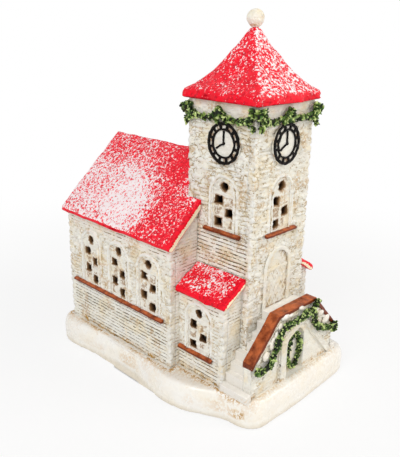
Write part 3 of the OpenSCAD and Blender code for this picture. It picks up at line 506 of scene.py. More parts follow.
def snow_glaze():
    """Thick white glaze with ochre where it pools at the walls' feet, and painted shade along its own foot."""
    r = Recipe("snow glaze", "snow", 0.26, Coat_Weight=0.3, Coat_Roughness=0.15)
    r.coat("snow_warm", r.patches(16, 0.4, 0.7, rough=0.5))
    # The stain also carries the painted shadow along the kerbs.
    spotty = r.times(r.number("stain"), r.patches(2, 0.44, 0.53, 0, 1, 5, 0.75), True)
    r.coat("ochre", spotty)
    r.coat("clay_dark", r.between(spotty, 0.6, 1, 0, 0.3))
    r.coat("ochre", r.patches(1.5, 0.71, 0.75, 0, 0.5, 2, 0.5))
    # Painted shade, darker towards the floor.
    r.coat("snow_foot", r.times(r.number("foot"), 0.8))
    return r.finish(r.patches(5, 0.3, 0.7, 0.2, 0.38), r.noise(5, 3, 0.5), 0.6, 0.4)


def black_glaze():
    """Black glaze of the clocks, worn brown on its ridges."""
    r = Recipe("black glaze", "black", 0.45, Specular_IOR_Level=0.08)
    worn = r.patches(1.1, 0.6, 0.72, 0, 0.85)
    r.coat("clay_dark", worn)
    return r.finish(r.between(worn, 0, 1, 0.4, 0.6, False), r.noise(0.8), 0.25, 0.5)


def stair_glaze():
    """Cool white glaze over clay, with painted shade grey on the risers and dark in the steps' inner corners."""
    r = Recipe("stair glaze", "stair", 0.38, Coat_Weight=0.15, Coat_Roughness=0.2)
    r.coat("stair_grey", r.patches(3.4, 0.42, 0.66, 0, 0.6, 4))
    # Painted shade on the risers, which face sideways, and in the steps' inner corners.
    r.coat("riser", r.between(r.number("top"), 0, 1, 0.9, 0))
    r.coat("stair_shade", r.between(r.number("wash"), 0.1, 0.6, 0, 0.85))
    r.coat("ochre", r.times(r.number("stain"), r.patches(1.8, 0.5, 0.64, 0, 0.8, 4, 0.7), True))
    r.coat("clay_wash", r.patches(1.3, 0.66, 0.72, 0, 0.5))
    return r.finish(r.patches(1, 0.3, 0.7, 0.3, 0.55), r.noise(1.4, 4), 0.4, 0.5)


def plain(name, colour, roughness, grain, **sockets):
    """Finish of the battery light's small parts: fine mould grain and uneven sheen."""
    r = Recipe(name, colour, roughness, **sockets)
    r.coat(tuple(v * 0.86 for v in r.base), r.patches(3, 0.35, 0.7))
    sheen = r.patches(1.5, 0.3, 0.7, roughness * 0.8, min(1.0, roughness * 1.25))
    return r.finish(sheen, r.noise(grain, 2, 0.5), 0.06, 0.4)


# Surface relief -----------------------------------------------


def stonework(u, v, course, length, seed):
    """Courses of rough blocks: how far out each point stands, how deep in a joint, row number and wear."""
    s = sizes()
    course, length = course * MM, length * MM
    flat = laid_flat(u, v, seed * 0.37)
    row = (v + course * 0.6 * rough(flat, 10, seed, 2)) / course
    k = np.floor(row)
    block = length * (0.6 + 0.9 * hashed(seed + 1, k))
    column = (u + 1.4 * MM * rough(flat, 6, seed + 2, 2)) / block + 7 * hashed(seed + 3, k)
    joint = 1 - ramp(0, 0.8, np.minimum(from_line(row) * course, from_line(column) * block * 1.5))
    stand = hashed(seed + 4, np.floor(column), k) - 0.5
    strength = patchy(0.25, 0.6, flat, 14, seed + 5)
    out = (1 - joint) * stand * s.stone_step - joint * s.joint_depth * (0.4 + 0.6 * strength)
    out = out + s.stone_rough * rough(flat, 3.4, seed + 6)
    return out, joint * (0.2 + 0.75 * strength) * patchy(0.3, 0.55, flat, 3, seed + 7), row, strength


def courses(u, v, height, seed):
    """Thin boards laid flat: the wavy row number at each point, and how strongly its line shows there."""
    flat = laid_flat(u, v, 0.1 * seed)
    row = (v + 0.5 * MM * rough(flat, 12, seed, 2)) / (height * MM)
    return row, 0.55 + 0.6 * patchy(0.3, 0.6, flat * (0.4, 1, 1), 5, seed + 1)


def hood(u, v, centre_u, centre_v, foot):
    """Nearness to a window's arched hood, to the grooves beside it, and to the window; last, what lies inside."""
    side = np.abs(u - centre_u)
    away = np.where(v > centre_v, np.hypot(side, v - centre_v), side) - sizes().window_radius
    away = np.where(v < foot, np.hypot(np.maximum(away, 0), foot - v), away)
    above = v > foot
    groove = bell(away, 3.3 * MM, 0.5 * MM) + bell(away, 0, 0.5 * MM)
    return bell(away, 1.6 * MM, 0.95 * MM) * above, groove * above, 1 - ramp(0.6, 3, away), (away < 0.6 * MM) & above


def windows_on(node):
    """Centre, arch height and foot of the windows in a wall, along the wall's own direction."""
    kind, part, side = node.split("_")
    if part == "front" or side == "rear":
        return []
    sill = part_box(f"{kind}_sill_{side}")
    top = sill[1].z
    if kind == "nave":
        centre = middle(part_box(node), 1) - WINDOW_SHIFT * MM
        return [(centre + k * WINDOW_STEP * MM, top + NAVE_ARCH * MM, top) for k in (-1, 0, 1)]
    centre = middle(sill, int(side != "front")) if kind == "tower" else NAVE_LOW.y - ANNEX_WINDOW * MM
    return [(centre, top + ARCH * MM, top)]


# Each wall with the directions that it shows to the outside.
WALLS = {
    "nave_wall_left": ("-x", "-y", "+y"), "nave_wall_right": ("+x", "-y", "+y"),
    "nave_front_left": ("-y",), "nave_front_right": ("-y",), "nave_wall_rear": ("+y",),
    "tower_wall_front": ("-y", "-x", "+x"), "tower_wall_left": ("-x",), "tower_wall_right": ("+x",),
    "tower_wall_rear": ("+y", "-x", "+x"),
    "annex_wall_left": ("-x", "-y"), "annex_wall_right": ("+x", "-y"),
    "annex_front_left": ("-y",), "annex_front_right": ("-y",),
}
SIDES = {"-x": (0, -1), "+x": (0, 1), "-y": (1, -1), "+y": (1, 1)}


def corner_lines(kind, axis):
    """Upright edges of the tower, the nave or the annexes, where the corner stones are laid."""
    if kind == "tower":
        return [TOWER_LOW.y, TOWER_BACK] if axis == 0 else [TOWER_LOW.x, TOWER_HIGH.x]
    if kind == "annex":
        return [ANNEX_LOW.y] if axis == 0 else [ANNEX_LOW.x, ANNEX_HIGH.x]
    return [NAVE_LOW.y, NAVE_HIGH.y] if axis == 0 else [NAVE_LOW.x, NAVE_RIGHT]


def relief(node, axis, sign, p):
    """Relief of one face of the house at points p: how far it stands out, and what its glazes need to know."""
    u, v = p[:, 1 - axis], p[:, 2]
    seed = 11 + 7 * axis + 3 * (sign > 0)
    kind = node.split("_")[0]
    tower, flank = kind == "tower", axis == 0
    flat = laid_flat(u, v, 0.1 * seed)
    course, length = (2.9, 7.5) if tower else (2.6, 7.0)
    out, joint, row, strength = stonework(u, v, course, length, seed)
    joint, lines = joint * (0.7 if flank else 0.55), strength * (0.55 if flank else 0.2)
    worn = np.full_like(u, (1.05 if tower else 0.8) * (1 if flank else 0.85))
    # Plain boards under the sills and the eaves, and on the fronts of the nave and the annexes.
    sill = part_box(kind + "_sill_left")[0].z
    if flank:
        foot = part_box("annex_roof_left")[1].z if tower else FLOOR_Z
        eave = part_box(node)[1].z - (0 if tower else EAVE_BOARDS * MM)
        boards = ((v < sill) & (v > foot)) | (v > eave)
    else:
        boards = np.full(len(u), not tower and node != "nave_wall_rear")
    thin_row, bold = courses(u, v, 2.6 if flank else 2.3, seed + 40)
    bold = bold * (np.where(v > sill, 0.7, 1.45) if flank else 0.65)
    dip = bell(from_line(thin_row), 0, 0.22) * bold
    out = np.where(boards, 0.35 * MM * rough(flat, 2.6, seed + 43) - 0.45 * MM * dip, out)
    row, lines = np.where(boards, thin_row, row), np.where(boards, bold, lines)
    joint, worn = np.where(boards, 0.3 * dip, joint), np.where(boards, 0.35, worn)
    if tower:
        # Smooth plaster above the garland.
        plaster = ramp(*PLASTER, v)
        out, worn = out * (1 - 0.6 * plaster), worn * (1 - 0.6 * plaster)
        joint, lines = joint * (1 - plaster), lines * (1 - plaster)
    # Big rough stones up the corners.
    tall = CORNER_STONE * MM
    near = np.min([np.abs(u - line) for line in corner_lines(kind, axis)], 0)
    corner = 1 - ramp(4.0, 5.4, near + 1.2 * MM * (np.floor(v / tall) % 2))
    gap = 1 - ramp(0, 0.9, from_line(v / tall + 0.3 * rough(flat, 8, seed + 44, 1)) * tall)
    stones = 2.0 * MM * rough(flat, 3.6, seed + 45) + 0.25 * MM - 0.8 * MM * gap
    out = out * (1 - corner) + stones * corner
    joint, lines = joint * (1 - corner) + 0.6 * gap * corner, lines * (1 - corner)
    for window in windows_on(node) if flank != node.endswith("front") else ():
        ridge, groove, hollow, _ = hood(u, v, *window)
        out = out * (1 - 0.45 * hollow) * (1 - 0.6 * ridge) + 0.75 * MM * ridge - 0.5 * MM * groove
        joint, lines = joint * (1 - 0.7 * hollow) * (1 - ridge), lines * (1 - hollow) * (1 - ridge)
        # Painted shade in the grooves on both sides of the hood, carried with the wash.
        joint = np.maximum(joint, 0.95 * groove * patchy(0.15, 0.45, flat, 5, seed + 49))
        worn = worn * (1 - 0.5 * hollow) * (1 - 0.8 * ridge)
    for side in ("left", "right", "front") if tower else ():
        # Nothing stands out behind the clocks.
        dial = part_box("clock_dial_" + side)
        if flank != (side == "front"):
            away = np.hypot(u - middle(dial, 1 - axis), v - middle(dial, 2))
            out = np.where(away < (dial[1].z - dial[0].z) / 2, np.minimum(out, 0), out)
    foot = (1 - ramp(0.5, 4.5, v - FLOOR_Z)) * patchy(0.3, 0.6, flat, 6, seed + 47)
    stain = patchy(0.62, 0.85, flat, 7, seed + 46) * 0.6 + foot
    return out, {"wash": joint, "stain": stain, "worn": worn, "row": row, "lines": lines}


def dressed_wall(node, material):
    """A wall with its stones, boards and worn edges in real relief."""
    bm = merged_copy(node)
    box = low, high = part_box(node)
    sides = [SIDES[name] for name in WALLS[node]]
    thin = 1 if high.y - low.y < high.x - low.x else 0
    facing = next((sign for axis, sign in sides if axis == thin), 0)
    back, outside = box[facing < 0][thin], box[facing > 0][thin]
    # The rims stand proud of the wall, which itself starts a little further in.
    windows = windows_on(node)
    rim = RIM * MM if windows else 0
    outer = [f for f in bm.faces if abs(f.calc_center_median()[thin] - back) > 0.3 * MM]
    grid(bm, outer, sizes().wall_grid, 0.04)
    # Edges that lie against a neighbour stay sharp, so that no seam opens.
    hidden = [(axis, box[sign > 0][axis]) for axis in range(3) for sign in (-1, 1) if (axis, sign) not in sides]
    edge_verts = {
        v for e in sharp_edges(bm, 40) for v in e.verts
        if not any(abs(v.co[axis] - plane) < 0.05 * MM for axis, plane in hidden)
    }
    relax(bm, list(edge_verts), 0.45)
    if windows:
        # The window openings are cut by hand, so their corners round off further.
        relax(bm, [
            v for v in edge_verts if abs(v.co[thin] - outside) > rim - 0.2 * MM and abs(v.co[thin] - back) > 0.5 * MM
        ], 0.4)
    mesh = as_piece(bm, "dressed_" + node, material, node).data
    p, n = points_of(mesh), normals_of(mesh)
    moved = p.copy()
    marks = {name: np.zeros(len(p)) for name in ("wash", "stain", "worn", "row", "lines", "smear")}
    skin = np.zeros(len(p), bool)
    deep = np.abs(p[:, thin] - outside)
    for axis, sign in sides:
        reach = 0.3 if axis != thin else 2.4 if windows else 0.95
        on = (np.abs(p[:, axis] - box[sign > 0][axis]) < reach * MM) & (n[:, axis] * sign > 0.25)
        out, found = relief(node, axis, sign, p[on])
        moved[on, axis] += sign * out
        for name, values in found.items():
            marks[name][on] = values
        skin |= on
    if windows:
        # Blind panes lie nearly flush, and the openings waver.
        inside = np.any([hood(p[:, 1 - thin], p[:, 2], *window)[3] for window in windows], 0)
        shallow, depth = rim + 1.5 * MM, abs(outside - back)
        lift = np.where(deep < shallow, deep - rim, (shallow - rim) * (1 - (deep - shallow) / (depth - shallow)))
        moved[inside, thin] += facing * 0.55 * np.clip(lift, 0, None)[inside]
        for axis in (1 - thin, 2):
            moved[inside, axis] += 1.7 * MM * rough(p[inside], 3.4, 90 + axis, 2)
        # Brown smear with painted shade inside the openings, and painted shade in the blind panes' recesses.
        smear = spread(np.where(inside & (deep > shallow), 1.0, 0.0), edges_of(mesh), 7) * 4
        blind = inside & (deep > rim + 1.0 * MM)
        marks["smear"] = np.clip(np.maximum(smear, blind * 0.55 * patchy(0.3, 0.6, p, 4, 93)), 0, 1)
    free = (np.abs(p[:, thin] - back) > 0.3 * MM) & (p[:, 2] > low.z + 0.1 * MM)
    moved[free] += shake(p[free], 5, 70) * sizes().hand_wobble
    put_points(mesh, moved)
    sunk = hollows(mesh, 0.22)
    # Painted shade: every hollow adds to the wash in the joints.
    marks["wash"] = np.clip(0.8 * marks["wash"] + 0.5 * np.maximum(sunk, 0), 0, 1)
    # Faces off the outside skin get their depth into the wall, for painted shade.
    wear(mesh, sunk, depth=np.where(skin, 0, np.clip(deep / (high[thin] - low[thin]), 0, 1)), **marks)


class CHURCH_OT_walls(bpy.types.Operator):
    """Lays stones, boards and corner stones on every wall"""

    bl_idname = "church.walls"
    bl_label = "Walls"

    def execute(self, context):
        material = clay()
        for node in WALLS:
            dressed_wall(node, material)
        return {"FINISHED"}


# Roofs --------------------------------------------------------


def dressed_roof(node, material, cover):
    """A roof slab with a soft wavy edge; cover gives the share of white at points."""
    s = sizes()
    tower = node == "tower_roof"
    bm = merged_copy(node)
    round_edges(bm, 1.3 if tower else 0.7, 50)
    grid(bm, [f for f in bm.faces if f.normal.z > -0.35], s.roof_grid, 0.04)
    mesh = as_piece(bm, "dressed_" + node, material, node).data
    p, n = points_of(mesh), normals_of(mesh)
    lumps = s.roof_wobble * rough(p, 9, 21) + 0.2 * MM * rough(p, 1.8, 22, 2)
    # The glaze runs down in soft drips at the eave.
    eave = 1 - ramp(1, 6, p[:, 2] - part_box(node)[0].z)
    wave, drip = (3.6, 2.4) if tower else (2.2, 1.9)
    lumps += eave * wave * MM * rough(p, 5.5, 23, 2)
    moved = p + n * (lumps * (n[:, 2] > -0.2))[:, None]
    moved[:, 2] += s.roof_wobble * 0.9 * rough(p, 14, 24, 2) - eave * drip * MM * cloud(p * (1, 1, 0.2), 7, 25)
    put_points(mesh, moved)
    store(mesh, "snow", np.clip(cover(p, n), -0.3, s.most_white))
    # On the slabs' upright front ends the glaze stops short and shows the clay.
    bare = 0 if tower else np.where(np.abs(n[:, 1]) > 0.8, ramp(1.6, 3.0, under_top(p, n)), 0)
    store(mesh, "bare", bare)


def under_top(p, n):
    """How far each point lies under the slab's sloping top."""
    slope = (n[:, 2] > 0.4) & (np.abs(n[:, 1]) < 0.3)
    lean, level = np.polyfit(p[slope, 0], p[slope, 2], 1)
    return lean * p[:, 0] + level - p[:, 2]


def along(p, node, axis):
    """How far points lie along a solid, 0 to 1."""
    low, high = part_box(node)
    return (p[:, axis] - low[axis]) / (high[axis] - low[axis])


def nave_cover(p, n):
    """Dabbed thickly low in the middle and at the gable end, thinly by the tower and along the eave."""
    length, height = along(p, "nave_roof_left", 1), along(p, "nave_roof_left", 2)
    dense = 0.38 + 0.2 * ease(0.2, 0.5, length) - 0.14 * ease(0.55, 0.9, height)
    dense += 0.14 * bell(height, 0.4, 0.25) * bell(length, 0.6, 0.3)
    dense += 0.16 * bell(height, 0.62, 0.12) * bell(length, 0.08, 0.12)
    dense += 0.4 * rough(p, 22, 61)
    edge = ease(-0.01, 0.05, height + 0.04 * rough(p, 6, 66, 2)) * ease(0.0, 0.03, length) * (n[:, 2] > 0.3)
    return dense * edge - 0.35 * (1 - edge)


def tower_cover(p, n):
    """Even specks, thicker on the front, few on the rim."""
    height = along(p, "tower_roof", 2)
    dense = 0.3 + 0.17 * (n[:, 1] < -0.4) + 0.05 * ease(0.35, 0.8, height) + 0.08 * (n[:, 0] > 0.4)
    dense += 0.26 * rough(p, 10, 62)
    edge = ease(0.06, 0.13, height + 0.07 * rough(p, 7, 63, 2))
    return dense * edge - (0.3 - 0.75 * cloud(p, 6, 67)) * (1 - edge)


def annex_cover(p, n):
    """Even, fading out at the eave."""
    length, height = along(p, "annex_roof_left", 1), along(p, "annex_roof_left", 2)
    dense = 0.44 + 0.4 * rough(p, 10, 64)
    edge = ease(0.12, 0.35, height + 0.15 * rough(p, 6, 65, 2)) * ease(0.02, 0.12, length) * (n[:, 2] > 0.3)
    return dense * edge - 0.25 * (1 - edge)


class CHURCH_OT_roofs(bpy.types.Operator):
    """Rolls the roof slabs' edges and dabs white on their red glaze"""

    bl_idname = "church.roofs"
    bl_label = "Roofs"

    def execute(self, context):
        material = roof_glaze()
        for node, cover in (
            ("nave_roof_left", nave_cover), ("nave_roof_right", nave_cover), ("tower_roof", tower_cover),
            ("annex_roof_left", annex_cover), ("annex_roof_right", annex_cover),
        ):
            dressed_roof(node, material, cover)
        return {"FINISHED"}


class CHURCH_OT_finial(bpy.types.Operator):
    """Roughens the snowball on the tower's tip"""

    bl_idname = "church.finial"
    bl_label = "Snowball"

    def execute(self, context):
        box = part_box("finial_ball")
        low = box[0].z
        bm = merged_copy("finial_ball")
        bmesh.ops.triangulate(bm, faces=bm.faces[:])
        bmesh.ops.subdivide_edges(bm, edges=bm.edges[:], cuts=1, use_grid_fill=True)
        mesh = as_piece(bm, "rough_snowball", clay(), "finial_ball").data
        p = points_of(mesh)
        centre = np.array([middle(box, axis) for axis in range(3)])
        moved = centre + (p - centre) * (1 - 0.16 * (0.5 - rough(p, 2.6, 81)))[:, None]
        moved[:, 2] = np.where(p[:, 2] < low + 0.2 * MM, p[:, 2], moved[:, 2])
        put_points(mesh, moved)
        sunk = hollows(mesh, 0.15, 0)
        wear(mesh, sunk, wash=np.maximum(sunk, 0) * 0.6, stain=1 - ramp(0.4, 3, p[:, 2] - low))
        return {"FINISHED"}


# Applied pieces -----------------------------------------------


def soft_piece(node, name, material, edge, step, wobble, seed, size=4):
    """A small piece with rounded edges and a hand-made wobble; its sizes are in millimetres."""
    bm = merged_copy(node)
    round_edges(bm, edge)
    grid(bm, bm.faces[:], step * MM, 0.03)
    mesh = as_piece(bm, name, material, node).data
    p = points_of(mesh)
    put_points(mesh, p + shake(p, size, seed) * (wobble * MM))
    foot = 1 - ramp(0.5, 5, p[:, 2] - FLOOR_Z)
    wear(mesh, hollows(mesh, 0.25), stain=foot * patchy(0.35, 0.65, p, 6, seed + 9), worn=0.25)
    # How much each face looks up, for painted light on the sills' tops and painted shade on the steps' risers.
    store(mesh, "top", ease(0.3, 0.7, normals_of(mesh)[:, 2]))
    return mesh


class CHURCH_OT_sills(bpy.types.Operator):
    """Rounds and glazes the sills and the porch's coping"""

    bl_idname = "church.sills"
    bl_label = "Sills and coping"

    def execute(self, context):
        material = brown_glaze()
        for k, node in enumerate((
            "nave_sill_left", "nave_sill_right", "tower_sill_left", "tower_sill_right", "tower_sill_front",
            "annex_sill_left", "annex_sill_right", "porch_coping",
        )):
            soft_piece(node, "glazed_" + node, material, 0.5, 1.2, 0.7, 100 + 5 * k)
        return {"FINISHED"}


class CHURCH_OT_clocks(bpy.types.Operator):
    """Softens the dials, the black rings and the hands"""

    bl_idname = "church.clocks"
    bl_label = "Clocks"

    def execute(self, context):
        dial, black = clay(), black_glaze()
        for k, side in enumerate(("left", "right", "front")):
            mesh = soft_piece("clock_dial_" + side, "dial_" + side, dial, 0.3, 1.2, 0.3, 150 + k)
            p = points_of(mesh)
            away = np.linalg.norm(p - (p.min(0) + p.max(0)) / 2, axis=1)
            store(mesh, "smear", 0.75 * ramp(7.5, 10, away) * patchy(0.3, 0.6, p, 3, 155 + k))
            for part in ("rings", "hands"):
                name = f"{part}_{side}"
                soft_piece("clock_" + name, name, black, 0.3, 0.9, 0.9, 160 + k, 2.2)
        return {"FINISHED"}


class CHURCH_OT_door(bpy.types.Operator):
    """Wears the door and its frame, with painted shade in the door's recesses"""

    bl_idname = "church.door"
    bl_label = "Door"

    def execute(self, context):
        material = clay()
        mesh = soft_piece("tower_door", "worn_door", material, 0.18, 0.9, 0.25, 180, 3)
        p = points_of(mesh)
        # Painted shade: the door's recessed parts darken, through the wash and a little brown.
        recess = ramp(0.25, 0.6, p[:, 1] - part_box("tower_door")[0].y)
        store(mesh, "wash", 0.6 * recess * patchy(0.25, 0.55, p, 4, 182))
        store(mesh, "depth", 0.06 * recess)
        soft_piece("door_frame", "worn_door_frame", material, 0.35, 1.1, 0.5, 184, 3)
        return {"FINISHED"}


def dressed_porch_wall(material):
    """The porch's front with smooth bays, a raised band round them and rough stones beside it."""
    s = sizes()
    bm = merged_copy("porch_wall")
    round_edges(bm, 0.3)
    grid(bm, bm.faces[:], s.wall_grid, 0.03)
    mesh = as_piece(bm, "worn_porch_wall", material, "porch_wall").data
    p, n = points_of(mesh), normals_of(mesh)
    # Only the stone face between the smooth bays and the band is rough.
    raised, stone = (
        (n[:, 1] < -0.3) & (np.abs(p[:, 1] - at) < 0.25 * MM) for at in (PORCH_LOW.y, PORCH_LOW.y + s.band_stand)
    )
    out, joint, _, _ = stonework(p[:, 0], p[:, 2], 2.8, 6, 231)
    moved = p.copy()
    moved[:, 1] -= np.where(stone, out, 0) + np.where(raised, 0.7 * MM * rough(p, 2.6, 232), 0)
    put_points(mesh, moved + shake(p, 4, 233) * 0.6 * MM)
    sunk = hollows(mesh, 0.25)
    foot = 1 - ramp(0.5, 5, p[:, 2] - FLOOR_Z)
    wear(
        mesh, sunk, wash=np.clip(0.7 * np.where(stone, joint, 0) + 0.5 * np.maximum(sunk, 0), 0, 1),
        stain=foot * patchy(0.4, 0.65, p, 6, 236), worn=np.where(stone, 0.8, np.where(raised, 0.4, 0.05)),
    )


class CHURCH_OT_stair(bpy.types.Operator):
    """Glazes the steps, the landing, the kerbs and the porch wall"""

    bl_idname = "church.stair"
    bl_label = "Stair and porch wall"

    def execute(self, context):
        material = stair_glaze()
        for k, node in enumerate(("stair_left", "stair_right", "landing", "kerb_left", "kerb_right")):
            soft_piece(node, "glazed_" + node, material, 0.45, 1.2, 0.45, 200 + 5 * k)
        dressed_porch_wall(clay())
        return {"FINISHED"}


# Garlands -----------------------------------------------------


def leafy(node, material, count, seed, axis, wall, thinner, bunches=()):
    """Crumbled leaves packed round a packed strand, over a dark core. No leaf grows into the wall behind."""
    rng = random.Random(seed)
    bm = merged_copy(node)
    for name in ("tone", "tip"):
        bm.verts.layers.float.new(name)
    bmesh.ops.triangulate(bm, faces=bm.faces[:])
    # The strand inside is thinner than the leaves round it.
    for v in bm.verts:
        v.co -= v.normal * (thinner * MM)
    faces = bm.faces[:]
    areas = list(itertools.accumulate(f.calc_area() for f in faces))
    spots = []
    while len(spots) < count:
        face = faces[np.searchsorted(areas, rng.random() * areas[-1])]
        a, b = rng.random(), rng.random()
        if a + b > 1:
            a, b = 1 - a, 1 - b
        p0, p1, p2 = (v.co for v in face.verts)
        spot = p0 + (p1 - p0) * a + (p2 - p0) * b
        if abs(spot[axis] - wall) > 0.5 * MM:
            spots.append((spot, face.normal.copy()))
    for centre, radii, number in bunches:
        for _ in range(number):
            normal = Vector([rng.gauss(0, 1) for _ in range(3)]).normalized()
            if normal[axis] * (centre[axis] - wall) < 0:
                normal[axis] *= -1
            away = Vector([normal[k] * radii[k] for k in range(3)]) * (0.75 + 0.25 * rng.random())
            spots.append((Vector(centre) + away, normal))
    # Leaves are made in small batches, which are then added to the strand.
    for start in range(0, len(spots), 40):
        batch = bmesh.new()
        add_leaves(batch, spots[start : start + 40], rng)
        carrier = bpy.data.meshes.new("batch")
        batch.to_mesh(carrier)
        batch.free()
        bm.from_mesh(carrier)
        bpy.data.meshes.remove(carrier)
    mesh = as_piece(bm, "leaves_" + node, material, node).data
    p = points_of(mesh)
    side = 1 if p[:, axis].mean() > wall else -1
    p[:, axis] = np.where((p[:, axis] - wall) * side < 0.05 * MM, wall + side * 0.05 * MM, p[:, axis])
    put_points(mesh, p)


def add_leaves(bm, spots, rng):
    """Adds a curled leaf at each spot, its root sunk below the spot and its tip along the direction there."""
    tone, tip = (bm.verts.layers.float.new(name) for name in ("tone", "tip"))
    for spot, normal in spots:
        size = sizes().leaf_length * rng.choice((0.55, 0.7, 0.9, 1.2, 1.45))
        ball = bmesh.ops.create_uvsphere(bm, u_segments=6, v_segments=4, radius=1.0)["verts"]
        colour, curl = rng.random(), rng.uniform(0.1, 0.6)
        for v in ball:
            lengthwise = v.co.z
            v[tone], v[tip] = colour, 0.5 + 0.5 * lengthwise
            narrow = 1 - 0.45 * max(lengthwise, 0) ** 2
            v.co.x *= narrow
            v.co.y = v.co.y * narrow * 0.5 + curl * lengthwise * lengthwise
        aim = (normal + Vector([rng.gauss(0, 0.7) for _ in range(3)])).normalized()
        turn = aim.to_track_quat("Z", "Y").to_matrix().to_4x4() @ Matrix.Rotation(rng.uniform(0, math.tau), 4, "Z")
        shape = Matrix.Diagonal((size * 0.62, size * 0.62, size, 1))
        bmesh.ops.transform(bm, matrix=Matrix.Translation(spot - normal * size * 0.35) @ turn @ shape, verts=ball)


# Hanging bunches at the tower's corners and a bow over each clock: place along the wall, drop, half width, half
# height and number of leaves.
TUFTS = (
    (-0.93, 3.5, 3.4, 3.6, 34), (-0.84, 8.5, 2.6, 3.4, 24), (-0.97, 12.0, 1.8, 2.6, 12),
    (0.93, 3.5, 3.4, 3.6, 34), (0.86, 9.0, 2.6, 3.4, 24), (0.97, 13.0, 1.8, 2.4, 12),
    (0.0, 4.0, 3.0, 2.4, 24), (-0.1, 7.6, 1.8, 2.6, 14), (0.09, 9.0, 1.8, 3.0, 14), (-0.2, 10.0, 1.4, 1.8, 7),
)


class CHURCH_OT_garlands(bpy.types.Operator):
    """Packs leaves round the tower's and the porch's garlands and the wreath"""

    bl_idname = "church.garlands"
    bl_label = "Garlands and wreath"

    def execute(self, context):
        material = leaf_glaze()
        count = sizes().garland_leaves
        for k, (node, axis, wall) in enumerate((
            ("garland_left", 0, TOWER_LOW.x), ("garland_right", 0, TOWER_HIGH.x),
            ("garland_front", 1, TOWER_LOW.y), ("garland_rear", 1, TOWER_BACK),
        )):
            low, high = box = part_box(node)
            side = -1 if low[axis] < wall - 0.5 * MM else 1
            bunches = []
            for share, drop, wide, tall, number in TUFTS:
                centre = [0, 0, high.z + 1.0 * MM - drop * MM]
                centre[axis] = wall + side * 1.6 * MM
                centre[1 - axis] = middle(box, 1 - axis) + share * (TOWER_HIGH.x - TOWER_LOW.x) / 2
                radii = [wide * MM, wide * MM, tall * MM]
                radii[axis] = 2.6 * MM
                bunches.append((centre, radii, number))
            leafy(node, material, count, 300 + k, axis, wall, 0.7, bunches)
        for k, (node, share) in enumerate((("porch_garland", 1.9), ("porch_wreath", 0.9))):
            leafy(node, material, int(count * share), 310 + k, 1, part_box(node)[1].y, 0.2)
        return {"FINISHED"}


# Plinth -------------------------------------------------------


def distance(p, areas):
    """Distance of points from the nearest area, seen from above; each has a left, front, right and back."""
    return np.min([
        np.hypot(
            np.maximum(np.maximum(left - p[:, 0], p[:, 0] - right), 0),
            np.maximum(np.maximum(front - p[:, 1], p[:, 1] - back), 0),
        )
        for left, front, right, back in areas
    ], 0)


class CHURCH_OT_plinth(bpy.types.Operator):
    """Melts the plinth into soft snow with drifts at the walls' feet"""

    bl_idname = "church.plinth"
    bl_label = "Snow plinth"

    def execute(self, context):
        s = sizes()
        low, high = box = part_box("snow_plinth")
        obj = as_piece(merged_copy("snow_plinth"), "snow_plinth_glaze", snow_glaze(), "snow_plinth")
        remesh = obj.modifiers.new("Remesh", "REMESH")
        remesh.mode = "VOXEL"
        remesh.voxel_size = s.plinth_grid
        mesh = bpy.data.meshes.new_from_object(obj.evaluated_get(bpy.context.evaluated_depsgraph_get()))
        obj.modifiers.clear()
        obj.data = mesh
        mesh.name = obj.name
        mesh.polygons.foreach_set("use_smooth", [True] * len(mesh.polygons))
        p, n = points_of(mesh), normals_of(mesh)
        top = ease(high.z - 3 * MM, high.z - 0.5 * MM, p[:, 2]) * (n[:, 2] > 0.2)
        away = distance(p, (
            (NAVE_LOW.x, NAVE_LOW.y, NAVE_RIGHT, NAVE_HIGH.y), (TOWER_LOW.x, TOWER_LOW.y, TOWER_HIGH.x, TOWER_BACK),
            (ANNEX_LOW.x, ANNEX_LOW.y, ANNEX_HIGH.x, NAVE_LOW.y), (PORCH_LOW.x, PORCH_LOW.y, PORCH_HIGH.x, ANNEX_LOW.y),
        ))
        kerbs = distance(p, [(*a[:2], *b[:2]) for a, b in map(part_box, ("kerb_left", "kerb_right"))])
        inside = away < 0.4 * MM
        # Behind the doorway the snow stays level, so that the light can slide out over it.
        left, right = (corner.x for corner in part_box("light_base"))
        beside = np.maximum(np.maximum(left - p[:, 0], p[:, 0] - right), NAVE_HIGH.y - 2 * MM - p[:, 1])
        level = ramp(1.5, 5, beside)
        lumps = s.snow_lumps * rough(p, 26, 41) + 0.25 * MM * rough(p, 5, 42, 2)
        lumps = np.where(top > 0, lumps * level - 0.25 * MM * (1 - level), lumps)
        moved = p + n * np.where(inside & (top > 0), 0, lumps)[:, None]
        drift = np.exp(-away / (1.7 * MM)) * (0.5 + cloud(p, 6, 43)) * s.drift
        moved[:, 2] += np.where(inside, 0, drift * top * level)
        shrink = 1 - 0.0035 * (1 - top)
        for axis in range(2):
            centre = middle(box, axis)
            moved[:, axis] = np.clip(centre + (moved[:, axis] - centre) * shrink, low[axis], high[axis])
        moved[:, 2] = np.where(p[:, 2] < 0.6 * MM, 0.0, np.maximum(moved[:, 2], 0.0))
        put_points(mesh, moved)
        feet = 1.9 * np.exp(-away / (3.0 * MM)) * patchy(0.22, 0.44, p, 9, 44)
        feet = feet * (0.35 + 0.65 * ease(PORCH_LOW.y, PORCH_LOW.y + 12 * MM, p[:, 1]))
        # Painted contact shadow along the kerbs' sides, kept with the stains.
        kerb_shadow = 0.9 * np.exp(-kerbs / (0.9 * MM)) * patchy(0.3, 0.5, p, 5, 46)
        stain = np.max([feet, 0.25 * patchy(0.76, 0.88, p, 10, 45), kerb_shadow], 0)
        store(mesh, "stain", np.where(inside, 0, stain * (p[:, 2] > 6 * MM)))
        # Painted shade along the plinth's foot, darker towards the floor.
        store(mesh, "foot", 1 - ramp(1.5, 6, p[:, 2] + 4 * MM * rough(p, 9, 47)))
        return {"FINISHED"}


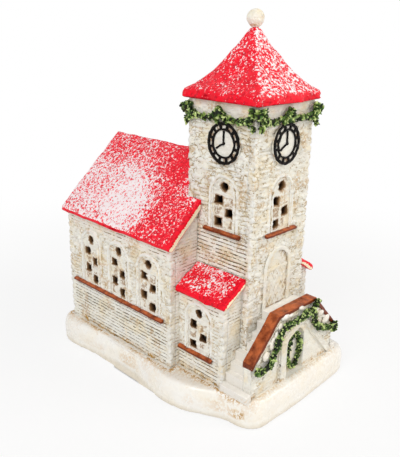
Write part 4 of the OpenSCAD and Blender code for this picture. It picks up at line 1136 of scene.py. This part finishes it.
# Distance from the porch's middle, height above the floor, half width and half height of each patch of snow.
PATCHES = (
    (-13.6, 47.4, 4.6, 2.2), (-8.6, 47.2, 3.2, 1.5), (-18.4, 42.6, 2.4, 2.4), (-26.2, 33.4, 2.2, 4.2),
    (-31.6, 26.6, 3.2, 3.2), (-22.4, 38.2, 1.6, 2.6), (34.6, 29.4, 4.2, 3.0), (27.4, 36.2, 3.0, 2.6),
    (4.0, 48.2, 3.6, 1.4),
)


class CHURCH_OT_snow(bpy.types.Operator):
    """Drops patches of snow under the porch's coping"""

    bl_idname = "church.snow"
    bl_label = "Lumps of snow"

    def execute(self, context):
        rng = random.Random(5)
        bm = bmesh.new()
        for x, z, wide, tall in PATCHES:
            place = Matrix.Translation((STAIR_X + x * MM, PORCH_LOW.y + 0.2 * MM, FLOOR_Z + z * MM))
            turn = Euler((0, rng.uniform(-0.4, 0.4), 0)).to_matrix().to_4x4()
            shape = Matrix.Diagonal((wide * MM, 1.0 * MM, tall * MM, 1))
            bmesh.ops.create_icosphere(bm, subdivisions=3, radius=1.0, matrix=place @ turn @ shape)
        mesh = as_piece(bm, "snow_lumps", snow_glaze()).data
        p, n = points_of(mesh), normals_of(mesh)
        put_points(mesh, p + n * (1.9 * MM * rough(p, 3, 91))[:, None])
        store(mesh, "stain", 0.25 * cloud(p, 3, 92))
        store(mesh, "foot", 0)
        return {"FINISHED"}


# Battery light ------------------------------------------------


class CHURCH_OT_light(bpy.types.Operator):
    """Finishes the battery light that stands in the nave"""

    bl_idname = "church.light"
    bl_label = "Battery light"

    def execute(self, context):
        case = plain("light case", "case", 0.45, 0.5)
        cover = plain("cover plastic", tint(222, 217, 205), 0.5, 0.4)
        switch = plain("switch plastic", tint(40, 39, 38), 0.45, 0.3)
        flame = plain("flame plastic", "flame", 0.25, 0.8, Transmission_Weight=0.5)
        resin = plain("lamp resin", tint(255, 244, 205), 0.1, 0.8, Transmission_Weight=0.7)
        steel = plain("cell steel", tint(200, 200, 200), 0.3, 0.2, Metallic=1.0)
        brass = plain("contact brass", tint(214, 178, 96), 0.28, 0.3, Metallic=1.0)
        for node, body, slot, material in (
            ("light_case", "light", "light_plastic", case), ("light_base", "light", "light_plastic", case),
            ("light_cover", "cover", "light_plastic", cover), ("light_switch", "switch", "switch_plastic", switch),
            ("light_flame", "light", "flame_plastic", flame), ("light_lamp", "light", "lamp_resin", resin),
            ("light_cell", "light", "cell_steel", steel), ("light_contact", "light", "contact_brass", brass),
        ):
            bm = merged_copy(node)
            round_edges(bm, 0.15, 40)
            obj = as_piece(bm, "finished_" + node, material, node, body)
            obj.data.set_sharp_from_angle(angle=math.radians(35))
        return {"FINISHED"}


# Stage --------------------------------------------------------


def bright_to_camera(tree, shader, share):
    """Mixes in plain white where the camera, or a mirror or glass, looks at the surface."""
    rays = add_node(tree, "LightPath", {}).outputs
    seen = rays["Is Camera Ray"]
    for name in ("Is Glossy Ray", "Is Transmission Ray"):
        seen = add_node(tree, "Math", {0: seen, 1: rays[name]}, operation="MAXIMUM").outputs[0]
    part = add_node(tree, "Math", {0: seen, 1: share}, operation="MULTIPLY").outputs[0]
    glow = add_node(tree, "Emission", {}).outputs[0]
    return add_node(tree, "MixShader", {0: part, 1: shader, 2: glow}).outputs[0]


class CHURCH_OT_stage(bpy.types.Operator):
    """Sets up the pale floor, the soft lights and the camera"""

    bl_idname = "church.stage"
    bl_label = "Stage"

    def execute(self, context):
        scene = context.scene
        scene.view_settings.view_transform = "Standard"
        s = sizes()

        def placed(name, data):
            obj = bpy.data.objects.new(name, data)
            scene.collection.objects.link(obj)
            return obj

        bm = bmesh.new()
        bmesh.ops.create_grid(bm, x_segments=2, y_segments=2, size=4.0)
        mesh = bpy.data.meshes.new("floor")
        bm.to_mesh(mesh)
        bm.free()
        floor = placed("floor", mesh)
        r = Recipe("pale floor", (0.9, 0.9, 0.9), 0.9, Specular_IOR_Level=0.1)
        # The shadow lies near the object; further off the floor is plain white.
        far = r.between(r.add("VectorMath", {0: r.place}, "Value", operation="LENGTH"), 0.16, 0.5, s.floor_glow, 1.0)
        mixed = bright_to_camera(r.tree, r.shader.outputs[0], far)
        r.tree.links.new(mixed, r.tree.nodes["Material Output"].inputs["Surface"])
        mesh.materials.append(r.material)

        world = scene.world or bpy.data.worlds.new("studio")
        scene.world = world
        world.use_nodes = True
        tree = world.node_tree
        shade = tree.nodes["Background"]
        fill(tree, shade, {"Color": (1.0, 0.985, 0.965), "Strength": s.sky_strength})
        out = next(n for n in tree.nodes if n.type == "OUTPUT_WORLD")
        tree.links.new(bright_to_camera(tree, shade.outputs[0], 1.0), out.inputs["Surface"])

        centre = Vector((middle(CAD_BOX, 0), middle(CAD_BOX, 1), 0.1))
        for name, towards, away, size, power, colour in (
            ("key light", (0.6, -1.0, 0.55), 1.1, 0.5, s.key_power, (1.0, 0.96, 0.89)),
            ("fill light", (-0.9, -0.4, 0.75), 1.3, 0.7, s.fill_power, (0.96, 0.98, 1.0)),
        ):
            lamp = bpy.data.lights.new(name, "AREA")
            lamp.shape = "SQUARE"
            lamp.size = size
            lamp.energy = power
            lamp.color = colour
            obj = placed(name, lamp)
            aim = Vector(towards).normalized()
            obj.location = centre + aim * away
            obj.rotation_euler = aim.to_track_quat("Z", "Y").to_euler()

        camera = bpy.data.cameras.new("camera")
        camera.lens = 46.0
        camera.sensor_width = 36.0
        camera.sensor_fit = "AUTO"
        camera.clip_start = 0.01
        scene.camera = placed("camera", camera)
        place, target = Vector(EYE) * MM, Vector(TARGET) * MM
        turn = (place - target).normalized().to_track_quat("Z", "Y").to_matrix().to_4x4()
        lean = Matrix.Rotation(math.radians(s.camera_roll), 4, "Z")
        scene.camera.matrix_world = Matrix.Translation(place) @ turn @ lean
        return {"FINISHED"}


# Settings -----------------------------------------------------


def swatch(name, description, red, green, blue):
    return bpy.props.FloatVectorProperty(
        name=name, description=description, subtype="COLOR", size=3, min=0, max=1, default=tint(red, green, blue)
    )


def span(name, description, millimetres):
    return bpy.props.FloatProperty(
        name=name, description=description, unit="LENGTH", subtype="DISTANCE", min=0, precision=5,
        default=millimetres * MM,
    )


def amount(name, description, default, **limits):
    return bpy.props.FloatProperty(name=name, description=description, default=default, **limits)


class ChurchLook(bpy.types.PropertyGroup):
    """Colours of the clay, the glazes and the light."""

    clay: swatch("Clay", "Clean clay of the walls", 255, 252, 240)
    clay_grey: swatch("Grey clay", "Greyer places on the walls", 248, 243, 232)
    clay_warm: swatch("Warm clay", "Warmer places on the walls", 252, 237, 205)
    # Brushed white and painted highlight on the ridges.
    clay_white: swatch("White clay", "Brushed white on the ridges", 255, 253, 247)
    # The two wash colours also lay painted shade in the hollows.
    clay_wash: swatch("Wash", "Ochre wash in the joints", 204, 180, 138)
    clay_dark: swatch("Dark wash", "Wash where it is deepest", 88, 62, 36)
    # Brown of the openings' rims, and painted shade inside them.
    burnt_clay: swatch("Burnt clay", "Rims of the openings", 168, 128, 84)
    # Painted shade deep inside the openings and on the inner faces.
    bare_clay: swatch("Bare clay", "Unglazed clay inside", 64, 40, 22)
    ochre: swatch("Ochre", "Stains at the walls' feet", 204, 158, 82)
    red: swatch("Red", "Red glaze of the roofs", 250, 12, 42)
    red_dark: swatch("Dark red", "Red in the finest pits", 176, 0, 26)
    red_deep: swatch("Deep red", "Red where the glaze is thick", 234, 8, 36)
    rose: swatch("Rose", "Red seen through thin white", 246, 120, 136)
    dust: swatch("White dabs", "White on the roofs", 252, 240, 241)
    brown: swatch("Brown", "Brown glaze of the sills", 106, 40, 9)
    brown_dark: swatch("Dark brown", "Brown where it is thick", 84, 28, 6)
    # Also painted light on the sills' upward faces.
    terracotta: swatch("Terracotta", "Brown where it is thin", 212, 114, 62)
    leaf: swatch("Leaf", "Leaves of the garlands", 62, 108, 34)
    leaf_dark: swatch("Dark leaf", "Leaves deeper in", 26, 48, 12)
    leaf_yellow: swatch("Yellow leaf", "Leaves with a yellow cast", 130, 152, 62)
    # Painted highlight on the leaves' tips.
    leaf_pale: swatch("Leaf tip", "Tips of the leaves", 206, 222, 148)
    leaf_shade: swatch("Leaf shade", "Gaps between the leaves", 14, 20, 6)
    snow: swatch("Snow", "Glaze of the plinth", 245, 242, 235)
    # Painted shade along the plinth's foot.
    snow_foot: swatch("Foot", "Worn glaze along the plinth's foot", 222, 210, 188)
    snow_warm: swatch("Warm snow", "Warmer places on the plinth", 245, 239, 226)
    black: swatch("Black", "Rings and hands of the clocks", 12, 9, 8)
    stair: swatch("Steps", "Glaze of the steps", 246, 242, 234)
    # Painted shade on the steps' upright faces.
    riser: swatch("Risers", "Upright faces of the steps", 230, 225, 216)
    # Painted shade in the steps' inner corners.
    stair_shade: swatch("Step shade", "Wash in the steps' inner corners", 160, 140, 118)
    stair_grey: swatch("Grey steps", "Greyer places on the steps", 236, 232, 225)
    case: swatch("Light case", "Case of the battery light", 240, 236, 226)
    flame: swatch("Flame", "Flame of the battery light", 250, 226, 168)


class ChurchSizes(bpy.types.PropertyGroup):
    """Sizes of the relief, the leaves and the stage."""

    wall_grid: span("Wall grid", "Distance between cuts across a wall", 0.85)
    roof_grid: span("Roof grid", "Distance between cuts across a roof", 1.2)
    plinth_grid: span("Plinth grid", "Distance between points on the plinth", 1.6)
    stone_step: span("Stone step", "How far neighbouring stones differ", 1.2)
    stone_rough: span("Stone roughness", "Roughness of a stone's face", 1.8)
    joint_depth: span("Joint depth", "Depth of the joints between stones", 0.9)
    hand_wobble: span("Hand wobble", "Unevenness of edges cut by hand", 0.5)
    window_radius: span("Window radius", "Half the width of a window", 10)
    roof_wobble: span("Roof wobble", "Unevenness of the roof slabs", 1.5)
    band_stand: span("Band", "How far the porch's band stands out", 0.7)
    snow_lumps: span("Snow lumps", "Unevenness of the plinth", 1.6)
    drift: span("Drift", "Height of snow against the walls", 1.3)
    leaf_length: span("Leaf length", "Length of a leaf", 1.8)
    garland_leaves: bpy.props.IntProperty(
        name="Leaves", description="Leaves in one of the tower's garlands", min=50, max=1500, default=330
    )
    most_white: amount("Most white", "Greatest share of white on a roof", 0.72, min=0, max=1)
    floor_glow: amount("Floor glow", "Share of plain white in the floor", 0.78, min=0, max=1)
    sky_strength: amount("Sky", "Strength of the even light", 0.48, min=0, max=3)
    key_power: amount("Key light", "Power of the main lamp", 4.2, min=0, unit="POWER")
    fill_power: amount("Fill light", "Power of the side lamp", 8.6, min=0, unit="POWER")
    camera_roll: amount("Roll", "Lean of the camera, in degrees", 0.97)


class CHURCH_PT_panel(bpy.types.Panel):
    """Sidebar panel that lists the pieces and their settings"""

    bl_label = "Church"
    bl_space_type = "VIEW_3D"
    bl_region_type = "UI"
    bl_category = "Church"

    def draw(self, context):
        for operator in OPERATORS:
            self.layout.operator(operator.bl_idname)
        for group in (context.scene.church_sizes, context.scene.church_look):
            for name in group.bl_rna.properties.keys():
                if name not in ("rna_type", "name"):
                    self.layout.prop(group, name)


OPERATORS = (
    CHURCH_OT_plinth, CHURCH_OT_walls, CHURCH_OT_roofs, CHURCH_OT_finial, CHURCH_OT_sills, CHURCH_OT_clocks,
    CHURCH_OT_door, CHURCH_OT_stair, CHURCH_OT_garlands, CHURCH_OT_snow, CHURCH_OT_light, CHURCH_OT_stage,
)
CLASSES = (ChurchLook, ChurchSizes, *OPERATORS, CHURCH_PT_panel)


def register():
    for cls in CLASSES:
        bpy.utils.register_class(cls)
    bpy.types.Scene.church_look = bpy.props.PointerProperty(type=ChurchLook)
    bpy.types.Scene.church_sizes = bpy.props.PointerProperty(type=ChurchSizes)


def unregister():
    del bpy.types.Scene.church_sizes
    del bpy.types.Scene.church_look
    for cls in reversed(CLASSES):
        bpy.utils.unregister_class(cls)


def main():
    register()
    for operator in OPERATORS:
        group, name = operator.bl_idname.split(".")
        getattr(getattr(bpy.ops, group), name)()


if __name__ == "__main__":
    main()
